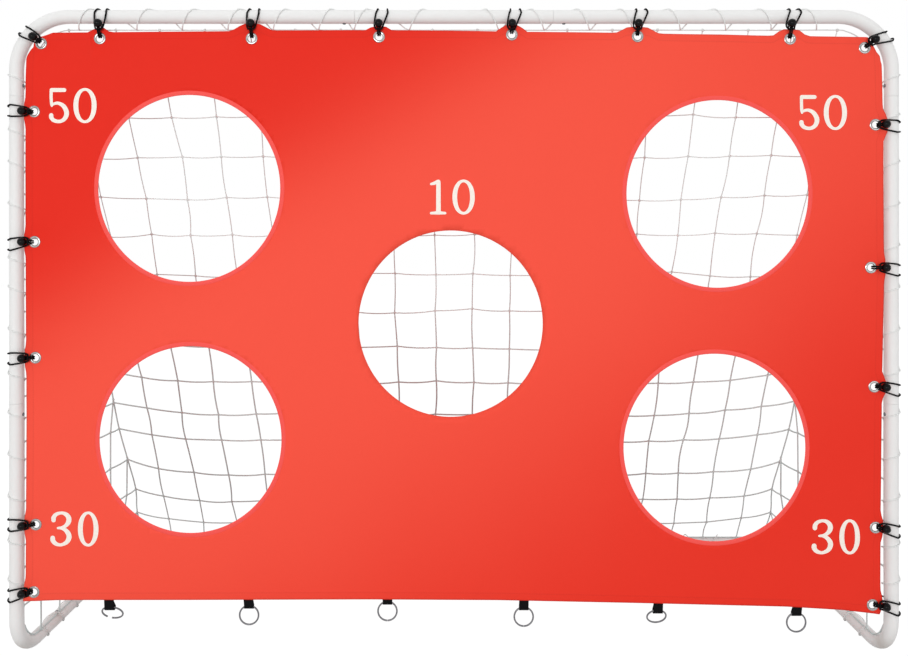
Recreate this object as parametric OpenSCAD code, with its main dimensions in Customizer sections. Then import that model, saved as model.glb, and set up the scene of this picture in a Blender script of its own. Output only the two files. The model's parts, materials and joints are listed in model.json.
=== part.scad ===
// Target net on a plug-together goal frame, in millimetres.
// X runs along the crossbar, +Y to the back and +Z up. The origin is on the ground under the
// middle of the whole object.

/* [Goal frame] */
// Width over the posts
frame_w = 2128; // [1760:1:2600]
// Height to the top of the crossbar
frame_h = 1563; // [1290:1:1900]
// Depth on the ground, front of the posts to the back of the rear tube
frame_d = 760; // [630:1:920]
// Centreline radius of the two crossbar corners
top_bend_r = 127; // [105:1:150]
// Centreline radius of the bends from post to ground
base_bend_r = 90; // [75:1:110]
// Centreline radius of the bends in the rear ground tube
rear_bend_r = 90; // [75:1:110]

/* [Tubes and plug joints] */
// Outside diameter of every tube
tube_d = 32; // [28:0.1:39]
// Wall thickness of every tube
tube_wall = 1; // [0.8:0.1:1.5]
// Length of the reduced end that plugs into the next tube
swage_len = 60; // [40:1:62]
// Radial play of the reduced end in its socket
swage_gap = 0.3; // [0.2:0.05:0.5]
// Length of the straight centre tubes between their joints
centre_tube_len = 474; // [380:1:600]
// Top of the frame down to the upper joint in each post
upper_joint_drop = 207; // [204:1:300]
// Ground up to the lower joint in each post
lower_joint_h = 621; // [500:1:750]
// Front tube axis back to the joint in each side base tube
base_joint_d = 222; // [190:1:260]

/* [Snap buttons] */
// Diameter of a button
button_d = 8; // [6:0.5:9]
// Height of a button above the tube
button_out = 2.5; // [1.5:0.1:3.5]
// Socket edge to the middle of the button
button_set = 26; // [18:1:32]
// Travel of a button to free the joint
button_travel = 4.6; // [4:0.1:5]

/* [Target sheet] */
// Thickness of the sheet
sheet_t = 1.2; // [0.8:0.1:1.6]
// Post axis to the side edge of the sheet
sheet_side_gap = 34; // [31:1:36]
// Crossbar axis down to the top edge of the sheet
sheet_top_gap = 41; // [38:1:44]
// Height of the bottom hem above the ground, on its level part
hem_h = 158; // [135:1:190]
// Fall of the bottom hem towards the right corner
hem_fall = 33; // [0:1:40]
// Diameter of each target hole
target_d = 440; // [360:1:520]
// Width of the bias binding round the outer holes
binding_w = 10; // [8:1:14]

/* [Eyelets and ball bungees] */
// Outside diameter of an eyelet
eyelet_d = 28; // [26:0.5:32]
// Clear bore of an eyelet
eyelet_bore = 17; // [15:0.5:19]
// Diameter of the elastic cord
elastic_d = 4; // [3.3:0.05:4.2]
// Diameter of the ball
ball_d = 20; // [19:0.5:24]
// Ball centre below the axis of the crossbar
ball_drop = 22; // [19:0.5:26]
// Ball centre inwards of the axis of a post
ball_inset = 27; // [23:0.5:29]

/* [Peg rings and their straps] */
// Centreline diameter of a ring
ring_d = 45; // [38:1:54]
// Wire diameter of a ring
ring_wire = 4; // [3:0.5:5]
// Width of a webbing strap
strap_w = 24; // [18:1:26]
// Thickness of the webbing
strap_t = 1.2; // [1:0.1:1.6]
// Length of strap sewn up the back of the hem
strap_sewn = 30; // [25:1:45]

/* [Net and lacing] */
// Diameter of the net twine
twine_d = 3; // [2:0.5:4]
// Meshes across the back net
net_cols = 19; // [15:2:19]
// Meshes down the back net
net_rows = 15; // [12:1:15]
// Diameter of the lacing cord
lace_d = 3; // [2:0.5:4]

/* [Hidden] */
$fn = 48;

// Colours
powder_white = "#e9ebee";
target_red = "#ee4033";
binding_pink = "#fb6b62";
nickel = "#b9bcc0";
cord_black = "#17171a";
net_white = "#f2f2ef";
button_steel = "#9a9da1";

// Tube sizes that follow from the driving ones
tube_r = tube_d / 2;
bore_r = tube_r - tube_wall;
male_r = bore_r - swage_gap;
male_bore_r = male_r - tube_wall;
shoulder_start = 0.9;
shoulder_end = 0.2;
inner_taper = 3;
button_hole_gap = 0.3;

// Bungee cord sizes in the plane across the tube. v points away from the sheet, w to the front.
elastic_r = elastic_d / 2;
ball_r = ball_d / 2;
touch_gap = 0.4;
neck_least = ball_r + 2 * elastic_r + 6;
neck_half = elastic_r + 0.3;
lace_axis_r = tube_r + lace_d / 2 + 0.95;
edge_cord_r = tube_r + twine_d / 2 + 0.9;
lace_bump_r = edge_cord_r + twine_d / 2 + lace_d / 2 + 1.5;
over_edge_r = (lace_bump_r + lace_d / 2 + elastic_r + touch_gap) / cos(21);
on_tube_r = tube_r + elastic_r + 1.65;
beside_ball_u = 10.3;
beside_ball_w = on_tube_r + 2.2;

// Places of the axes
sheet_fwd = tube_r + 0.9 + sheet_t / 2;
ball_beside = sqrt(pow(ball_r + elastic_r + touch_gap, 2) - pow(beside_ball_u, 2));
ball_fwd = max(beside_ball_w + ball_beside, sheet_fwd + sheet_t / 2 + ball_r + touch_gap);
reach_front = ball_fwd + ball_r;
axis_d = frame_d - tube_d;
front_y = reach_front - (reach_front + axis_d + tube_r) / 2;
rear_y = front_y + axis_d;
post_x = frame_w / 2 - tube_r;
top_z = frame_h - tube_r;
joint_x = centre_tube_len / 2;
upper_joint_z = frame_h - upper_joint_drop;
button_base_r = male_bore_r - 1.8;
button_tip_r = tube_r + button_out;
button_shoulder = 1.2;

// Sheet outline. Shares are of half the sheet's width, from the middle to the right.
sheet_half_w = post_x - sheet_side_gap;
sheet_top_z = top_z - sheet_top_gap;
corner_cut = 60;
hem_line = [[-1, 0], [0.106, 0], [0.779, 0.485], [0.917, 0.71], [1, 1]];

// Middles of the target holes, as shares of half the sheet's width and of the frame's height
target_spots = [[-0.619, 0.726], [0.616, 0.718], [-0.617, 0.345], [0.609, 0.333], [-0.008, 0.521]];
bound_holes = [0, 1, 2, 3];

// Ties. Along the crossbar: share of post_x and distance from the tube axis to the eyelet.
top_ties = [[-0.8025, 56], [-0.459, 56], [-0.17, 52], [0.131, 47], [0.416, 51], [0.7615, 57]];
// Down the posts: share of the frame's height and the same distance
left_ties = [[0.843, 51], [0.645, 52], [0.469, 54], [0.2175, 55], [0.113, 50]];
right_ties = [[0.823, 47], [0.606, 58], [0.425, 50], [0.211, 47], [0.0934, 54]];
// At the crossbar corners: angle round the bend from straight up, and the same distance
corner_tie_left = [-45, 43];
corner_tie_right = [48, 54];
net_cross_spread_top = 6.5;
net_cross_spread_post = 8.8;

// Peg rings: share of half the sheet's width, drop below the hem and tilt to the back
ring_spots = [
  [-0.809, 21, 36], [-0.482, 17.5, 0], [-0.1565, 8, 0],
  [0.164, 20, 0], [0.479, 20, 30], [0.805, 17.5, 0]
];
ring_split = 1.6;
open_ring = 0;
open_ring_split = 26;
ring_r = ring_d / 2;
fold_r = ring_r - sqrt(pow(ring_r, 2) - pow(strap_w / 2, 2)) + ring_wire / 2 + 0.7;
fold_outer_r = fold_r + strap_t;
strap_neck = fold_outer_r + 8.6;
sheet_back_y = front_y - sheet_fwd + sheet_t / 2;
fold_y = sheet_back_y + 0.5 + fold_outer_r;

// Back net: from under the crossbar down to the top of the rear ground tube
net_side_in = 8;
seam_gap = twine_d + 0.3;
net_top_angle = 202;
net_bottom_angle = 115;
net_top_d = -edge_cord_r * sin(net_top_angle);
net_top_z = top_z + edge_cord_r * cos(net_top_angle);
net_bottom_d = axis_d + edge_cord_r * cos(net_bottom_angle);
net_bottom_z = tube_r + edge_cord_r * sin(net_bottom_angle);
net_run = net_bottom_d - net_top_d;
net_fall = net_top_z - net_bottom_z;
net_len = sqrt(pow(net_run, 2) + pow(net_fall, 2));
net_half_w = post_x - net_side_in - seam_gap;
cell_w = 2 * net_half_w / net_cols;
cell_len = net_len / net_rows;
row_fall = net_fall / net_rows;
top_round_x = net_half_w - (post_x - top_bend_r);
top_round_len = (top_bend_r - 5) * net_len / net_fall;
bottom_round = rear_bend_r;
round_steps = 6;

// Side nets, in a plane just inside each post's axis
side_edge_d = sqrt(pow(edge_cord_r, 2) - pow(net_side_in, 2));
side_top_z = top_z - top_bend_r + 5;
side_seam_gap = 3.6;
side_cut_d = axis_d - rear_bend_r - 10;
side_cut_z = net_bottom_z + bottom_round * net_fall / net_len;
side_columns = [for (k = [1:floor(net_rows / 2) - 1]) net_top_d + 2 * k * net_run / net_rows];

// Lacing
lace_rings = 11;
cord_sides = 5;
lace_across_top = 36;
lace_across_post = 23;
lace_shifts = [0, 6, -6, 12, -12, 18, -18, 24, -24, 30, -30, 36, -36];
post_net_angle = 180 + atan2(side_edge_d, net_side_in);
bump_power = 5;
top_turns = floor((post_x - top_bend_r - 10) / cell_w - 0.33);
post_turns = floor((net_top_z - 10 - tube_r - base_bend_r) / row_fall - 0.83);
inner_face_angle = 180;

// ---------------------------------------------------------------- small functions

function unit(a) = a / norm(a);
function tenths(p) = [for (a = p) round(a * 10) / 10];

// Where the lace passes the net's edge cord in a mesh: mid-mesh, or the least shift from it that
// keeps the wrap off the ties and buttons. Ties are clear from "high" before it to "low" after it.
function lace_place(mid, ties, buttons, low, high, lead) =
  let (
    fit = [
      for (s = lace_shifts)
        let (c = mid + s)
        if (min([for (t = ties) t - c > low && t - c < high ? 0 : 1]) == 1
          && min([for (b = buttons) abs(c + lead - b)]) > button_d / 2 + 2.1) c
    ]
  )
  len(fit) > 0 ? fit[0] : mid;

// A tie's place moved off a net cord at grid line "start", so that both strands pass beside it
function clear_tie(place, start, pitch, spread) =
  let (
    need = elastic_r + twine_d / 2 + 0.5,
    line = start + round((place - start) / pitch) * pitch,
    off = place - line,
    low = max(0, spread - need),
    high = spread + need,
    inside = abs(off) > low && abs(off) < high,
    near = abs(off) - low < high - abs(off) ? low : high
  )
  inside ? line + (off < 0 ? -near : near) : place;

// Height of the sheet's bottom edge at x
function hem_z(x) = hem_h - hem_fall * lookup(x / sheet_half_w, hem_line);

// Depth of the side seam at height z, and its height at depth d
function seam_d(z) = net_top_d + (net_top_z - z) / net_fall * net_run - side_seam_gap;
function seam_z(d) = net_top_z - (d + side_seam_gap - net_top_d) / net_run * net_fall;

// Reference directions carried along a path without twist
function tangents(p) =
  [for (i = [0:len(p) - 1]) unit(p[min(i + 1, len(p) - 1)] - p[max(i - 1, 0)])];
function across(n, t) = unit(n - (n * t) * t);
function carried(t, first) =
  [for (i = 0, n = across(first, t[0]); i < len(t); i = i + 1, n = across(n, t[min(i, len(t) - 1)])) n];

// Least distance between a cord's surfaces at points more than "skip" apart along it
function least_gap(p, skip, d) =
  min([for (i = [0:len(p) - 1 - skip]) for (j = [i + skip:len(p) - 1]) norm(p[i] - p[j])]) - d;

// ---------------------------------------------------------------- small modules

// A tube of triangles along a path
module swept(path, r, sides, first) {
  t = tangents(path);
  n = carried(t, first);
  rings = len(path);
  points = [
    for (i = [0:rings - 1]) for (k = [0:sides - 1])
      let (a = 360 * k / sides)
      path[i] + r * (cos(a) * n[i] + sin(a) * cross(t[i], n[i]))
  ];
  walls = [
    for (i = [0:rings - 2]) for (k = [0:sides - 1])
      let (a = i * sides + k, b = i * sides + (k + 1) % sides)
      each [[a, a + sides, b], [b, a + sides, b + sides]]
  ];
  start_cap = [for (k = [1:sides - 2]) [0, k, k + 1]];
  last = (rings - 1) * sides;
  end_cap = [for (k = [1:sides - 2]) [last, last + k + 1, last + k]];
  polyhedron(points = points, faces = concat(start_cap, walls, end_cap));
}

// A straight bar of a flat net or strip, from p to q, with an overlap at both ends
module bar2d(p, q, w, lap = 0) {
  start = tenths(p);
  d = tenths(q) - start;
  translate(start) rotate(atan2(d[1], d[0])) translate([-lap, -w / 2])
    square([norm(d) + 2 * lap, w]);
}

// Bars along a list of points
module chain2d(points, w) {
  for (i = [0:len(points) - 2]) bar2d(points[i], points[i + 1], w, w / 2);
}

module ring2d() {
  difference() {
    circle(tube_r);
    circle(bore_r);
  }
}

module straight_tube(len) {
  linear_extrude(len) ring2d();
}

module bent_tube(r) {
  rotate_extrude(angle = 90) translate([r, 0]) ring2d();
}

// Straight tube about the origin along Z with a reduced end above, and one below if both
module plug_tube(low, high, both) {
  ends_low = both
    ? [[male_r, low - swage_len], [male_r, low + shoulder_end], [tube_r, low + shoulder_start]]
    : [[tube_r, low]];
  bore_low = both
    ? [[bore_r, low + inner_taper], [male_bore_r, low + shoulder_end], [male_bore_r, low - swage_len]]
    : [[bore_r, low]];
  rotate_extrude() polygon(concat(
    ends_low,
    [[tube_r, high - shoulder_start], [male_r, high - shoulder_end], [male_r, high + swage_len]],
    [[male_bore_r, high + swage_len], [male_bore_r, high - shoulder_end], [bore_r, high - inner_taper]],
    bore_low
  ));
}

// Puts children in a plug joint's frame: Z into the socket, X towards the button
module joint_frame(j) {
  o = j[0];
  into = j[1];
  out = j[2];
  side = cross(into, out);
  multmatrix([
    [out[0], side[0], into[0], o[0]],
    [out[1], side[1], into[1], o[1]],
    [out[2], side[2], into[2], o[2]],
    [0, 0, 0, 1]
  ]) children();
}

// Plug joints on the right side: socket edge on the axis, way in, way to the button
joint_top = [[joint_x, front_y, top_z], [1, 0, 0], [0, 0, -1]];
joint_upper = [[post_x, front_y, upper_joint_z], [0, 0, 1], [-1, 0, 0]];
joint_lower = [[post_x, front_y, lower_joint_h], [0, 0, -1], [-1, 0, 0]];
joint_base = [[post_x, front_y + base_joint_d, tube_r], [0, -1, 0], [0, 0, 1]];
joint_rear = [[joint_x, rear_y, tube_r], [1, 0, 0], [0, 0, 1]];
all_joints = [joint_top, joint_upper, joint_lower, joint_base, joint_rear];

module button_hole(j) {
  joint_frame(j) translate([0, 0, button_set]) rotate([0, 90, 0])
    cylinder(r = button_d / 2 + button_hole_gap, h = tube_r + 2);
}

module snap_button(j) {
  r = button_d / 2;
  tip = button_tip_r - button_base_r + button_shoulder;
  color(button_steel) joint_frame(j) translate([button_base_r - button_shoulder, 0, button_set])
    rotate([0, 90, 0]) rotate_extrude() polygon(concat(
      [[0, 0], [r + 2, 0], [r + 2, button_shoulder], [r, button_shoulder], [r, tip - r / 2]],
      [for (a = [30:30:60]) [r * cos(a), tip - r / 2 + r / 2 * sin(a)]],
      [[0, tip]]
    ));
}

module snap_spring(j) {
  t = 0.8;
  leg = button_base_r - button_shoulder - 0.3 - t / 2;
  back = -(male_bore_r - 1.2);
  joint_frame(j) rotate([90, 0, 0]) linear_extrude(button_d, center = true)
    chain2d([
      [leg, button_set + 5], [leg, button_set - 6], [back + 5, -20],
      [back + 1.6, -24], [back, -20], [back, button_set + 5]
    ], t);
}

// Puts children in a tie's frame at a tube: X along the tube, Z away from the sheet, -Y to the front
module at_tube(place, turn) {
  translate(place) rotate([0, turn, 0]) children();
}

// ---------------------------------------------------------------- frame tubes

module top_corner() {
  color(powder_white) difference() {
    union() {
      translate([joint_x, front_y, top_z]) rotate([0, 90, 0])
        straight_tube(post_x - top_bend_r - joint_x);
      translate([post_x - top_bend_r, front_y, top_z - top_bend_r]) rotate([90, 0, 0])
        bent_tube(top_bend_r);
      translate([post_x, front_y, upper_joint_z])
        straight_tube(top_z - top_bend_r - upper_joint_z);
    }
    button_hole(joint_top);
    button_hole(joint_upper);
  }
}

module bottom_corner() {
  color(powder_white) difference() {
    union() {
      translate([post_x, front_y, tube_r + base_bend_r])
        straight_tube(lower_joint_h - tube_r - base_bend_r);
      translate([post_x, front_y + base_bend_r, tube_r + base_bend_r]) rotate([90, 0, 90])
        rotate([0, 0, 180]) bent_tube(base_bend_r);
      translate([post_x, front_y + base_bend_r, tube_r]) rotate([-90, 0, 0])
        straight_tube(base_joint_d - base_bend_r);
    }
    button_hole(joint_lower);
    button_hole(joint_base);
  }
}

module rear_corner() {
  run = axis_d - rear_bend_r - base_joint_d;
  color(powder_white) difference() {
    union() {
      translate([post_x, front_y + base_joint_d, tube_r]) rotate([90, 0, 0])
        plug_tube(-run, 0, false);
      translate([post_x - rear_bend_r, rear_y - rear_bend_r, tube_r]) bent_tube(rear_bend_r);
      translate([joint_x, rear_y, tube_r]) rotate([0, 90, 0])
        straight_tube(post_x - rear_bend_r - joint_x);
    }
    button_hole(joint_base);
    button_hole(joint_rear);
  }
}

module centre_tube(j) {
  color(powder_white) difference() {
    translate([0, j[0][1], j[0][2]]) rotate([0, 90, 0]) plug_tube(-joint_x, joint_x, true);
    button_hole(j);
    mirror([1, 0, 0]) button_hole(j);
  }
}

module post_tube() {
  color(powder_white) difference() {
    translate([post_x, front_y, 0]) plug_tube(lower_joint_h, upper_joint_z, true);
    button_hole(joint_upper);
    button_hole(joint_lower);
  }
}

module snap_springs() {
  color(button_steel) for (j = all_joints) {
    snap_spring(j);
    mirror([1, 0, 0]) snap_spring(j);
  }
}

// ---------------------------------------------------------------- ties

post_rows_start = net_top_z;
column_start = cell_w / 2;

// Each tie: place of the tube axis, turn about Y and distance to the eyelet
ties_top = [
  for (t = top_ties)
    let (x = clear_tie(t[0] * post_x, column_start, cell_w, net_cross_spread_top))
    [[x, front_y, top_z], 0, t[1]]
];
ties_left = concat(
  [for (t = left_ties)
    let (z = clear_tie(t[0] * frame_h, post_rows_start, row_fall, net_cross_spread_post))
    [[-post_x, front_y, z], -90, t[1]]],
  [corner_tie(-1, corner_tie_left)]
);
ties_right = concat(
  [for (t = right_ties)
    let (z = clear_tie(t[0] * frame_h, post_rows_start, row_fall, net_cross_spread_post))
    [[post_x, front_y, z], 90, t[1]]],
  [corner_tie(1, corner_tie_right)]
);

function corner_tie(side, tie) =
  let (a = tie[0], x = post_x - top_bend_r, z = top_z - top_bend_r)
  [[side * x + top_bend_r * sin(a), front_y, z + top_bend_r * cos(a)], a, tie[1]];

// Middle of a tie's ball, and the direction from there to its eyelet, as [v, w]
eyelet_front_w = sheet_fwd + 3;
function ball_place(tie) = [-min(tie[1] == 0 ? ball_drop : ball_inset, tie[2] - neck_least), ball_fwd];
function eyelet_edge_v(tie) = eyelet_bore / 2 - elastic_r - 1 - tie[2];
function neck_way_of(tie) = unit([eyelet_edge_v(tie), eyelet_front_w] - ball_place(tie));

// Half of a loop of elastic, as [u, v, w]: from inside the ball through the eyelet, round the back
// of the tube at radius "back_r", over its front, past the ball and to the hook under the ball
function loop_half(tie, back_r) =
  let (
    ball = ball_place(tie),
    near_v = eyelet_edge_v(tie),
    neck_way = neck_way_of(tie),
    neck_front = [neck_way[1], -neck_way[0]],
    hook = ball + (ball_r + elastic_r + 1.2) * neck_way,
    corner = hook + 3.7 * neck_front,
    middle = hook + (2 * elastic_r + 1) * neck_front,
    start = ball + 5 * neck_way,
    before = [near_v, sheet_fwd + 2.8],
    behind = [near_v + 0.4, sheet_fwd - 4.2],
    angle = [230, 272, 312, 352, 396, 440],
    spread = [8, 9.5, 10.6, 11, 11.6, 13.6],
    radius = [back_r, back_r, max(back_r - 3.2, on_tube_r), on_tube_r + 1.6, on_tube_r, on_tube_r]
  )
  concat(
    [[neck_half, start[0], start[1]], [neck_half, before[0], before[1]]],
    [[neck_half, behind[0], behind[1]]],
    [for (k = [0:5]) [spread[k], radius[k] * cos(angle[k]), radius[k] * sin(angle[k])]],
    [[beside_ball_u, ball[0] - 2, beside_ball_w]],
    [[2 * elastic_r + 2.9, hook[0], hook[1]], [5.3, corner[0], corner[1]]],
    [[0, middle[0], middle[1]]]
  );

// The whole loop in a tie's frame. At a corner it passes inside the net's edge, elsewhere over it.
function loop_path(tie) =
  let (
    corner = tie[1] != 0 && abs(tie[1]) != 90,
    half = loop_half(tie, corner ? on_tube_r + 0.6 : over_edge_r),
    n = len(half)
  )
  concat(
    [for (p = half) [p[0], -p[2], p[1]]],
    [for (i = [n - 2:-1:0]) [-half[i][0], -half[i][2], half[i][1]]]
  );

module bungee_cord(tie) {
  at_tube(tie[0], tie[1]) swept(loop_path(tie), elastic_r, cord_sides, [1, 0, 0]);
}

module bungee_ball(tie) {
  bore = neck_half + elastic_r + touch_gap;
  ball = ball_place(tie);
  neck_way = neck_way_of(tie);
  at_tube(tie[0], tie[1]) translate([0, -ball[1], ball[0]])
    difference() {
      sphere(ball_r);
      rotate([atan2(neck_way[1], neck_way[0]), 0, 0]) translate([0, 0, 3])
        cylinder(r = bore, h = ball_r);
    }
}

module grommet(tie) {
  face = sheet_t / 2 + 0.05;
  lip = 1.3;
  inner = eyelet_bore / 2;
  outer = eyelet_d / 2;
  middle = (inner + outer) / 2;
  half = (outer - inner) / 2;
  at_tube(tie[0], tie[1]) translate([0, -sheet_fwd, -tie[2]]) rotate([90, 0, 0]) rotate_extrude()
    polygon(concat(
      [for (a = [0:30:180]) [middle + half * cos(a), face + lip * sin(a)]],
      [[inner, -face - 0.8], [outer, -face - 0.8], [outer, -face], [inner + 1, -face], [inner + 1, face]]
    ));
}

module eyelet_hole(tie) {
  at_tube(tie[0], tie[1]) translate([0, -sheet_fwd, -tie[2]]) rotate([90, 0, 0])
    cylinder(r = eyelet_bore / 2 + 1.2, h = 4 * sheet_t, center = true);
}

all_ties = concat(ties_top, ties_left, ties_right);

module bungee_cords_top() {
  color(cord_black) for (t = ties_top) bungee_cord(t);
}

module bungee_cords_left() {
  color(cord_black) for (t = ties_left) bungee_cord(t);
}

module bungee_cords_right() {
  color(cord_black) for (t = ties_right) bungee_cord(t);
}

module bungee_balls() {
  color(cord_black) for (t = all_ties) bungee_ball(t);
}

module grommets() {
  color(nickel) for (t = all_ties) grommet(t);
}

// ---------------------------------------------------------------- sheet

function target_place(spot) = [spot[0] * sheet_half_w, spot[1] * frame_h];

// A part of the sheet's edge pulled out towards the tube at a tie
module pulled_edge(tie, edge, out, half_top, half_base) {
  place = [tie[0][0], tie[0][2]];
  translate(place) rotate(-tie[1]) polygon([
    [half_base, -edge - 4], [half_base, -edge], [half_top, out - edge],
    [-half_top, out - edge], [-half_base, -edge], [-half_base, -edge - 4]
  ]);
}

// The cloth round a corner eyelet
module corner_tab(tie) {
  a = tie[1];
  translate([tie[0][0] - tie[2] * sin(a), tie[0][2] - tie[2] * cos(a)]) circle(eyelet_d / 2 + 2);
}

module target_sheet() {
  color(target_red) difference() {
    translate([0, front_y - sheet_fwd, 0]) rotate([90, 0, 0])
      linear_extrude(sheet_t, center = true) difference() {
        union() {
          polygon(concat(
            [for (p = hem_line) [p[0] * sheet_half_w, hem_z(p[0] * sheet_half_w)]],
            [[sheet_half_w, sheet_top_z - corner_cut], [sheet_half_w - corner_cut, sheet_top_z]],
            [[corner_cut - sheet_half_w, sheet_top_z], [-sheet_half_w, sheet_top_z - corner_cut]]
          ));
          for (t = ties_top) pulled_edge(t, sheet_top_gap, 21, 21, 50);
          for (t = concat(ties_left, ties_right))
            if (abs(t[1]) == 90) pulled_edge(t, sheet_side_gap, 4, 14, 34);
          corner_tab(ties_left[5]);
          corner_tab(ties_right[5]);
        }
        for (s = target_spots) translate(target_place(s)) circle(d = target_d);
      }
    for (t = all_ties) eyelet_hole(t);
  }
}

module hole_bindings() {
  face = sheet_t / 2 + 0.05;
  skin = 0.8;
  inner = target_d / 2 - 2;
  outer = inner + binding_w;
  color(binding_pink) for (i = bound_holes) {
    c = target_place(target_spots[i]);
    translate([c[0], front_y - sheet_fwd, c[1]]) rotate([90, 0, 0]) rotate_extrude() polygon([
      [inner, -face - skin], [outer, -face - skin], [outer, -face], [inner + 1.8, -face],
      [inner + 1.8, face], [outer, face], [outer, face + skin], [inner, face + skin]
    ]);
  }
}

// ---------------------------------------------------------------- peg rings

function ring_pivot(spot) =
  let (x = spot[0] * sheet_half_w)
  [x, fold_y, hem_z(x) - spot[1]];

module peg_ring(i) {
  spot = ring_spots[i];
  split = i == open_ring ? open_ring_split : ring_split;
  start = i == open_ring ? 240 : 270;
  r = ring_r * (360 - ring_split) / (360 - split);
  color(nickel) translate(ring_pivot(spot)) rotate([spot[2], 0, 0]) translate([0, 0, -r])
    rotate([90, 0, 0]) rotate([0, 0, start + split / 2])
      rotate_extrude(angle = 360 - split) translate([r, 0]) circle(d = ring_wire);
}

// A strap folded round its ring. Its profile has +X to the back and +Y up, about the pivot.
module ring_strap(spot) {
  p = ring_pivot(spot);
  face = sheet_back_y + 0.05 - fold_y;
  top = strap_sewn + spot[1];
  neck = strap_neck;
  translate(p) rotate([90, 0, 90]) linear_extrude(strap_w, center = true) difference() {
    union() {
      circle(fold_outer_r);
      polygon([
        [face, neck - 1], [face + 2 * strap_t, neck - 1],
        [fold_outer_r * cos(20) - 0.1, fold_outer_r * sin(20)], [0.2 - fold_outer_r, 0.6]
      ]);
      translate([face, neck - 1.2]) square([2 * strap_t, top - neck + 1.2]);
    }
    circle(fold_r);
    polygon([
      [face + strap_t, neck - 4.5], [fold_r * cos(20) - 0.1, fold_r * sin(20)], [0.2 - fold_r, 0.6]
    ]);
  }
}

module ring_straps() {
  color(cord_black) for (s = ring_spots) ring_strap(s);
}

// ---------------------------------------------------------------- net

// Top and bottom of the back net at x, and its half width at length s down the slope
function net_start(x) =
  let (k = max(0, abs(x) - (net_half_w - top_round_x)) / top_round_x)
  top_round_len * (1 - sqrt(1 - k * k));
function net_end(x) =
  let (k = max(0, abs(x) - (net_half_w - bottom_round)) / bottom_round)
  net_len - bottom_round * (1 - sqrt(1 - k * k));
function net_side(s) =
  let (
    a = max(0, top_round_len - s) / top_round_len,
    b = max(0, s - net_len + bottom_round) / bottom_round
  )
  net_half_w - top_round_x * (1 - sqrt(1 - a * a)) - bottom_round * (1 - sqrt(1 - b * b));

// Right half of the back net's edge, from the top middle round to the bottom middle
net_half_edge = concat(
  [[0, 0]],
  [for (a = [90:-90 / round_steps:0])
    [net_half_w - top_round_x * (1 - cos(a)), -top_round_len * (1 - sin(a))]],
  [for (a = [0:-90 / round_steps:-90])
    [net_half_w - bottom_round * (1 - cos(a)), -net_len + bottom_round * (1 + sin(a))]],
  [[0, -net_len]]
);

module net_back() {
  color(net_white) translate([0, front_y + net_top_d, net_top_z])
    rotate([180 - atan2(net_fall, net_run), 0, 0]) linear_extrude(twine_d, center = true) {
      chain2d(net_half_edge, twine_d);
      chain2d([for (p = net_half_edge) [-p[0], p[1]]], twine_d);
      for (i = [1:net_cols - 1]) {
        x = i * cell_w - net_half_w;
        bar2d([x, -net_start(x)], [x, -net_end(x)], twine_d);
      }
      for (i = [1:net_rows - 1]) {
        s = i * cell_len;
        bar2d([-net_side(s), -s], [net_side(s), -s], twine_d);
      }
    }
}

// Edge of a side net as [depth behind the post axis, height]
side_edge = concat(
  [[side_edge_d, side_top_z]],
  [for (a = [180:90 / round_steps:270])
    [base_bend_r + (base_bend_r - side_edge_d) * cos(a),
     tube_r + base_bend_r + (base_bend_r - side_edge_d) * sin(a)]],
  [[side_cut_d, tube_r + side_edge_d], [seam_d(side_cut_z), side_cut_z]],
  [[seam_d(side_top_z), side_top_z], [side_edge_d, side_top_z]]
);

module net_side() {
  color(net_white) translate([post_x - net_side_in, front_y, 0]) rotate([90, 0, 90])
    linear_extrude(twine_d, center = true) {
      chain2d(side_edge, twine_d);
      for (i = [1:net_rows - 1]) {
        z = net_top_z - i * row_fall;
        if (z < side_top_z - 4 * twine_d && z > side_cut_z + 2 * twine_d)
          bar2d([side_edge_d, z], [seam_d(z), z], twine_d);
      }
      for (d = side_columns)
        if (d < side_cut_d)
          bar2d([d, tube_r + side_edge_d], [d, seam_z(d)], twine_d);
    }
}

// ---------------------------------------------------------------- lacing

// Winding about the X axis, once to a mesh: from each place by the net's edge cord at angle "edge"
// over the front to the outside within "across", then slower round the back. Y points to the back.
function winding(places, pitch, edge, across, last) =
  [
    for (n = [0:len(places) - 1])
      let (
        c = places[n],
        end = n == len(places) - 1,
        next = end ? c + pitch : places[n + 1]
      )
      for (i = [0:end ? last : lace_rings - 1])
        let (
          a = 360 * i / lace_rings,
          bulge = pow(max(0, cos(a)), bump_power),
          r = lace_axis_r + (lace_bump_r - lace_axis_r) * bulge
        )
        [
          lookup(a, [[0, c], [edge, c + across], [360, next]]),
          -r * sin(edge - a), r * cos(edge - a)
        ]
  ];

// Along the crossbar from its left end to the middle. Side is -1 on the left and 1 on the right.
top_lead = lace_across_top * (net_top_angle - inner_face_angle) / net_top_angle;
top_button = -joint_x - button_set;
function top_lacing(side) =
  let (ties = [for (t = ties_top) -side * t[0][0]])
  winding(
    [for (k = [top_turns:-1:1])
      lace_place(-k * cell_w, ties, [top_button], 0.5, 60.5, top_lead)],
    cell_w, net_top_angle, lace_across_top, lace_rings - 4
  );

// Up a post
post_lead = lace_across_post * (post_net_angle - inner_face_angle) / post_net_angle;
post_buttons = [upper_joint_z + button_set, lower_joint_h - button_set];
function post_lacing(ties) =
  let (places = [for (t = ties) if (abs(t[1]) == 90) t[0][2]])
  winding(
    [for (i = [post_turns:-1:1])
      lace_place(net_top_z - (i + 0.5) * row_fall, places, post_buttons, -3.5, 56.5, post_lead)],
    row_fall, post_net_angle, lace_across_post, lace_rings - 4
  );

module lacing_top(side) {
  color(net_white) at_tube([0, front_y, top_z], 0)
    swept(top_lacing(side), lace_d / 2, cord_sides, [0, -1, 0]);
}

module lacing_post(ties) {
  color(net_white) at_tube([-post_x, front_y, 0], -90)
    swept(post_lacing(ties), lace_d / 2, cord_sides, [0, -1, 0]);
}

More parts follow.
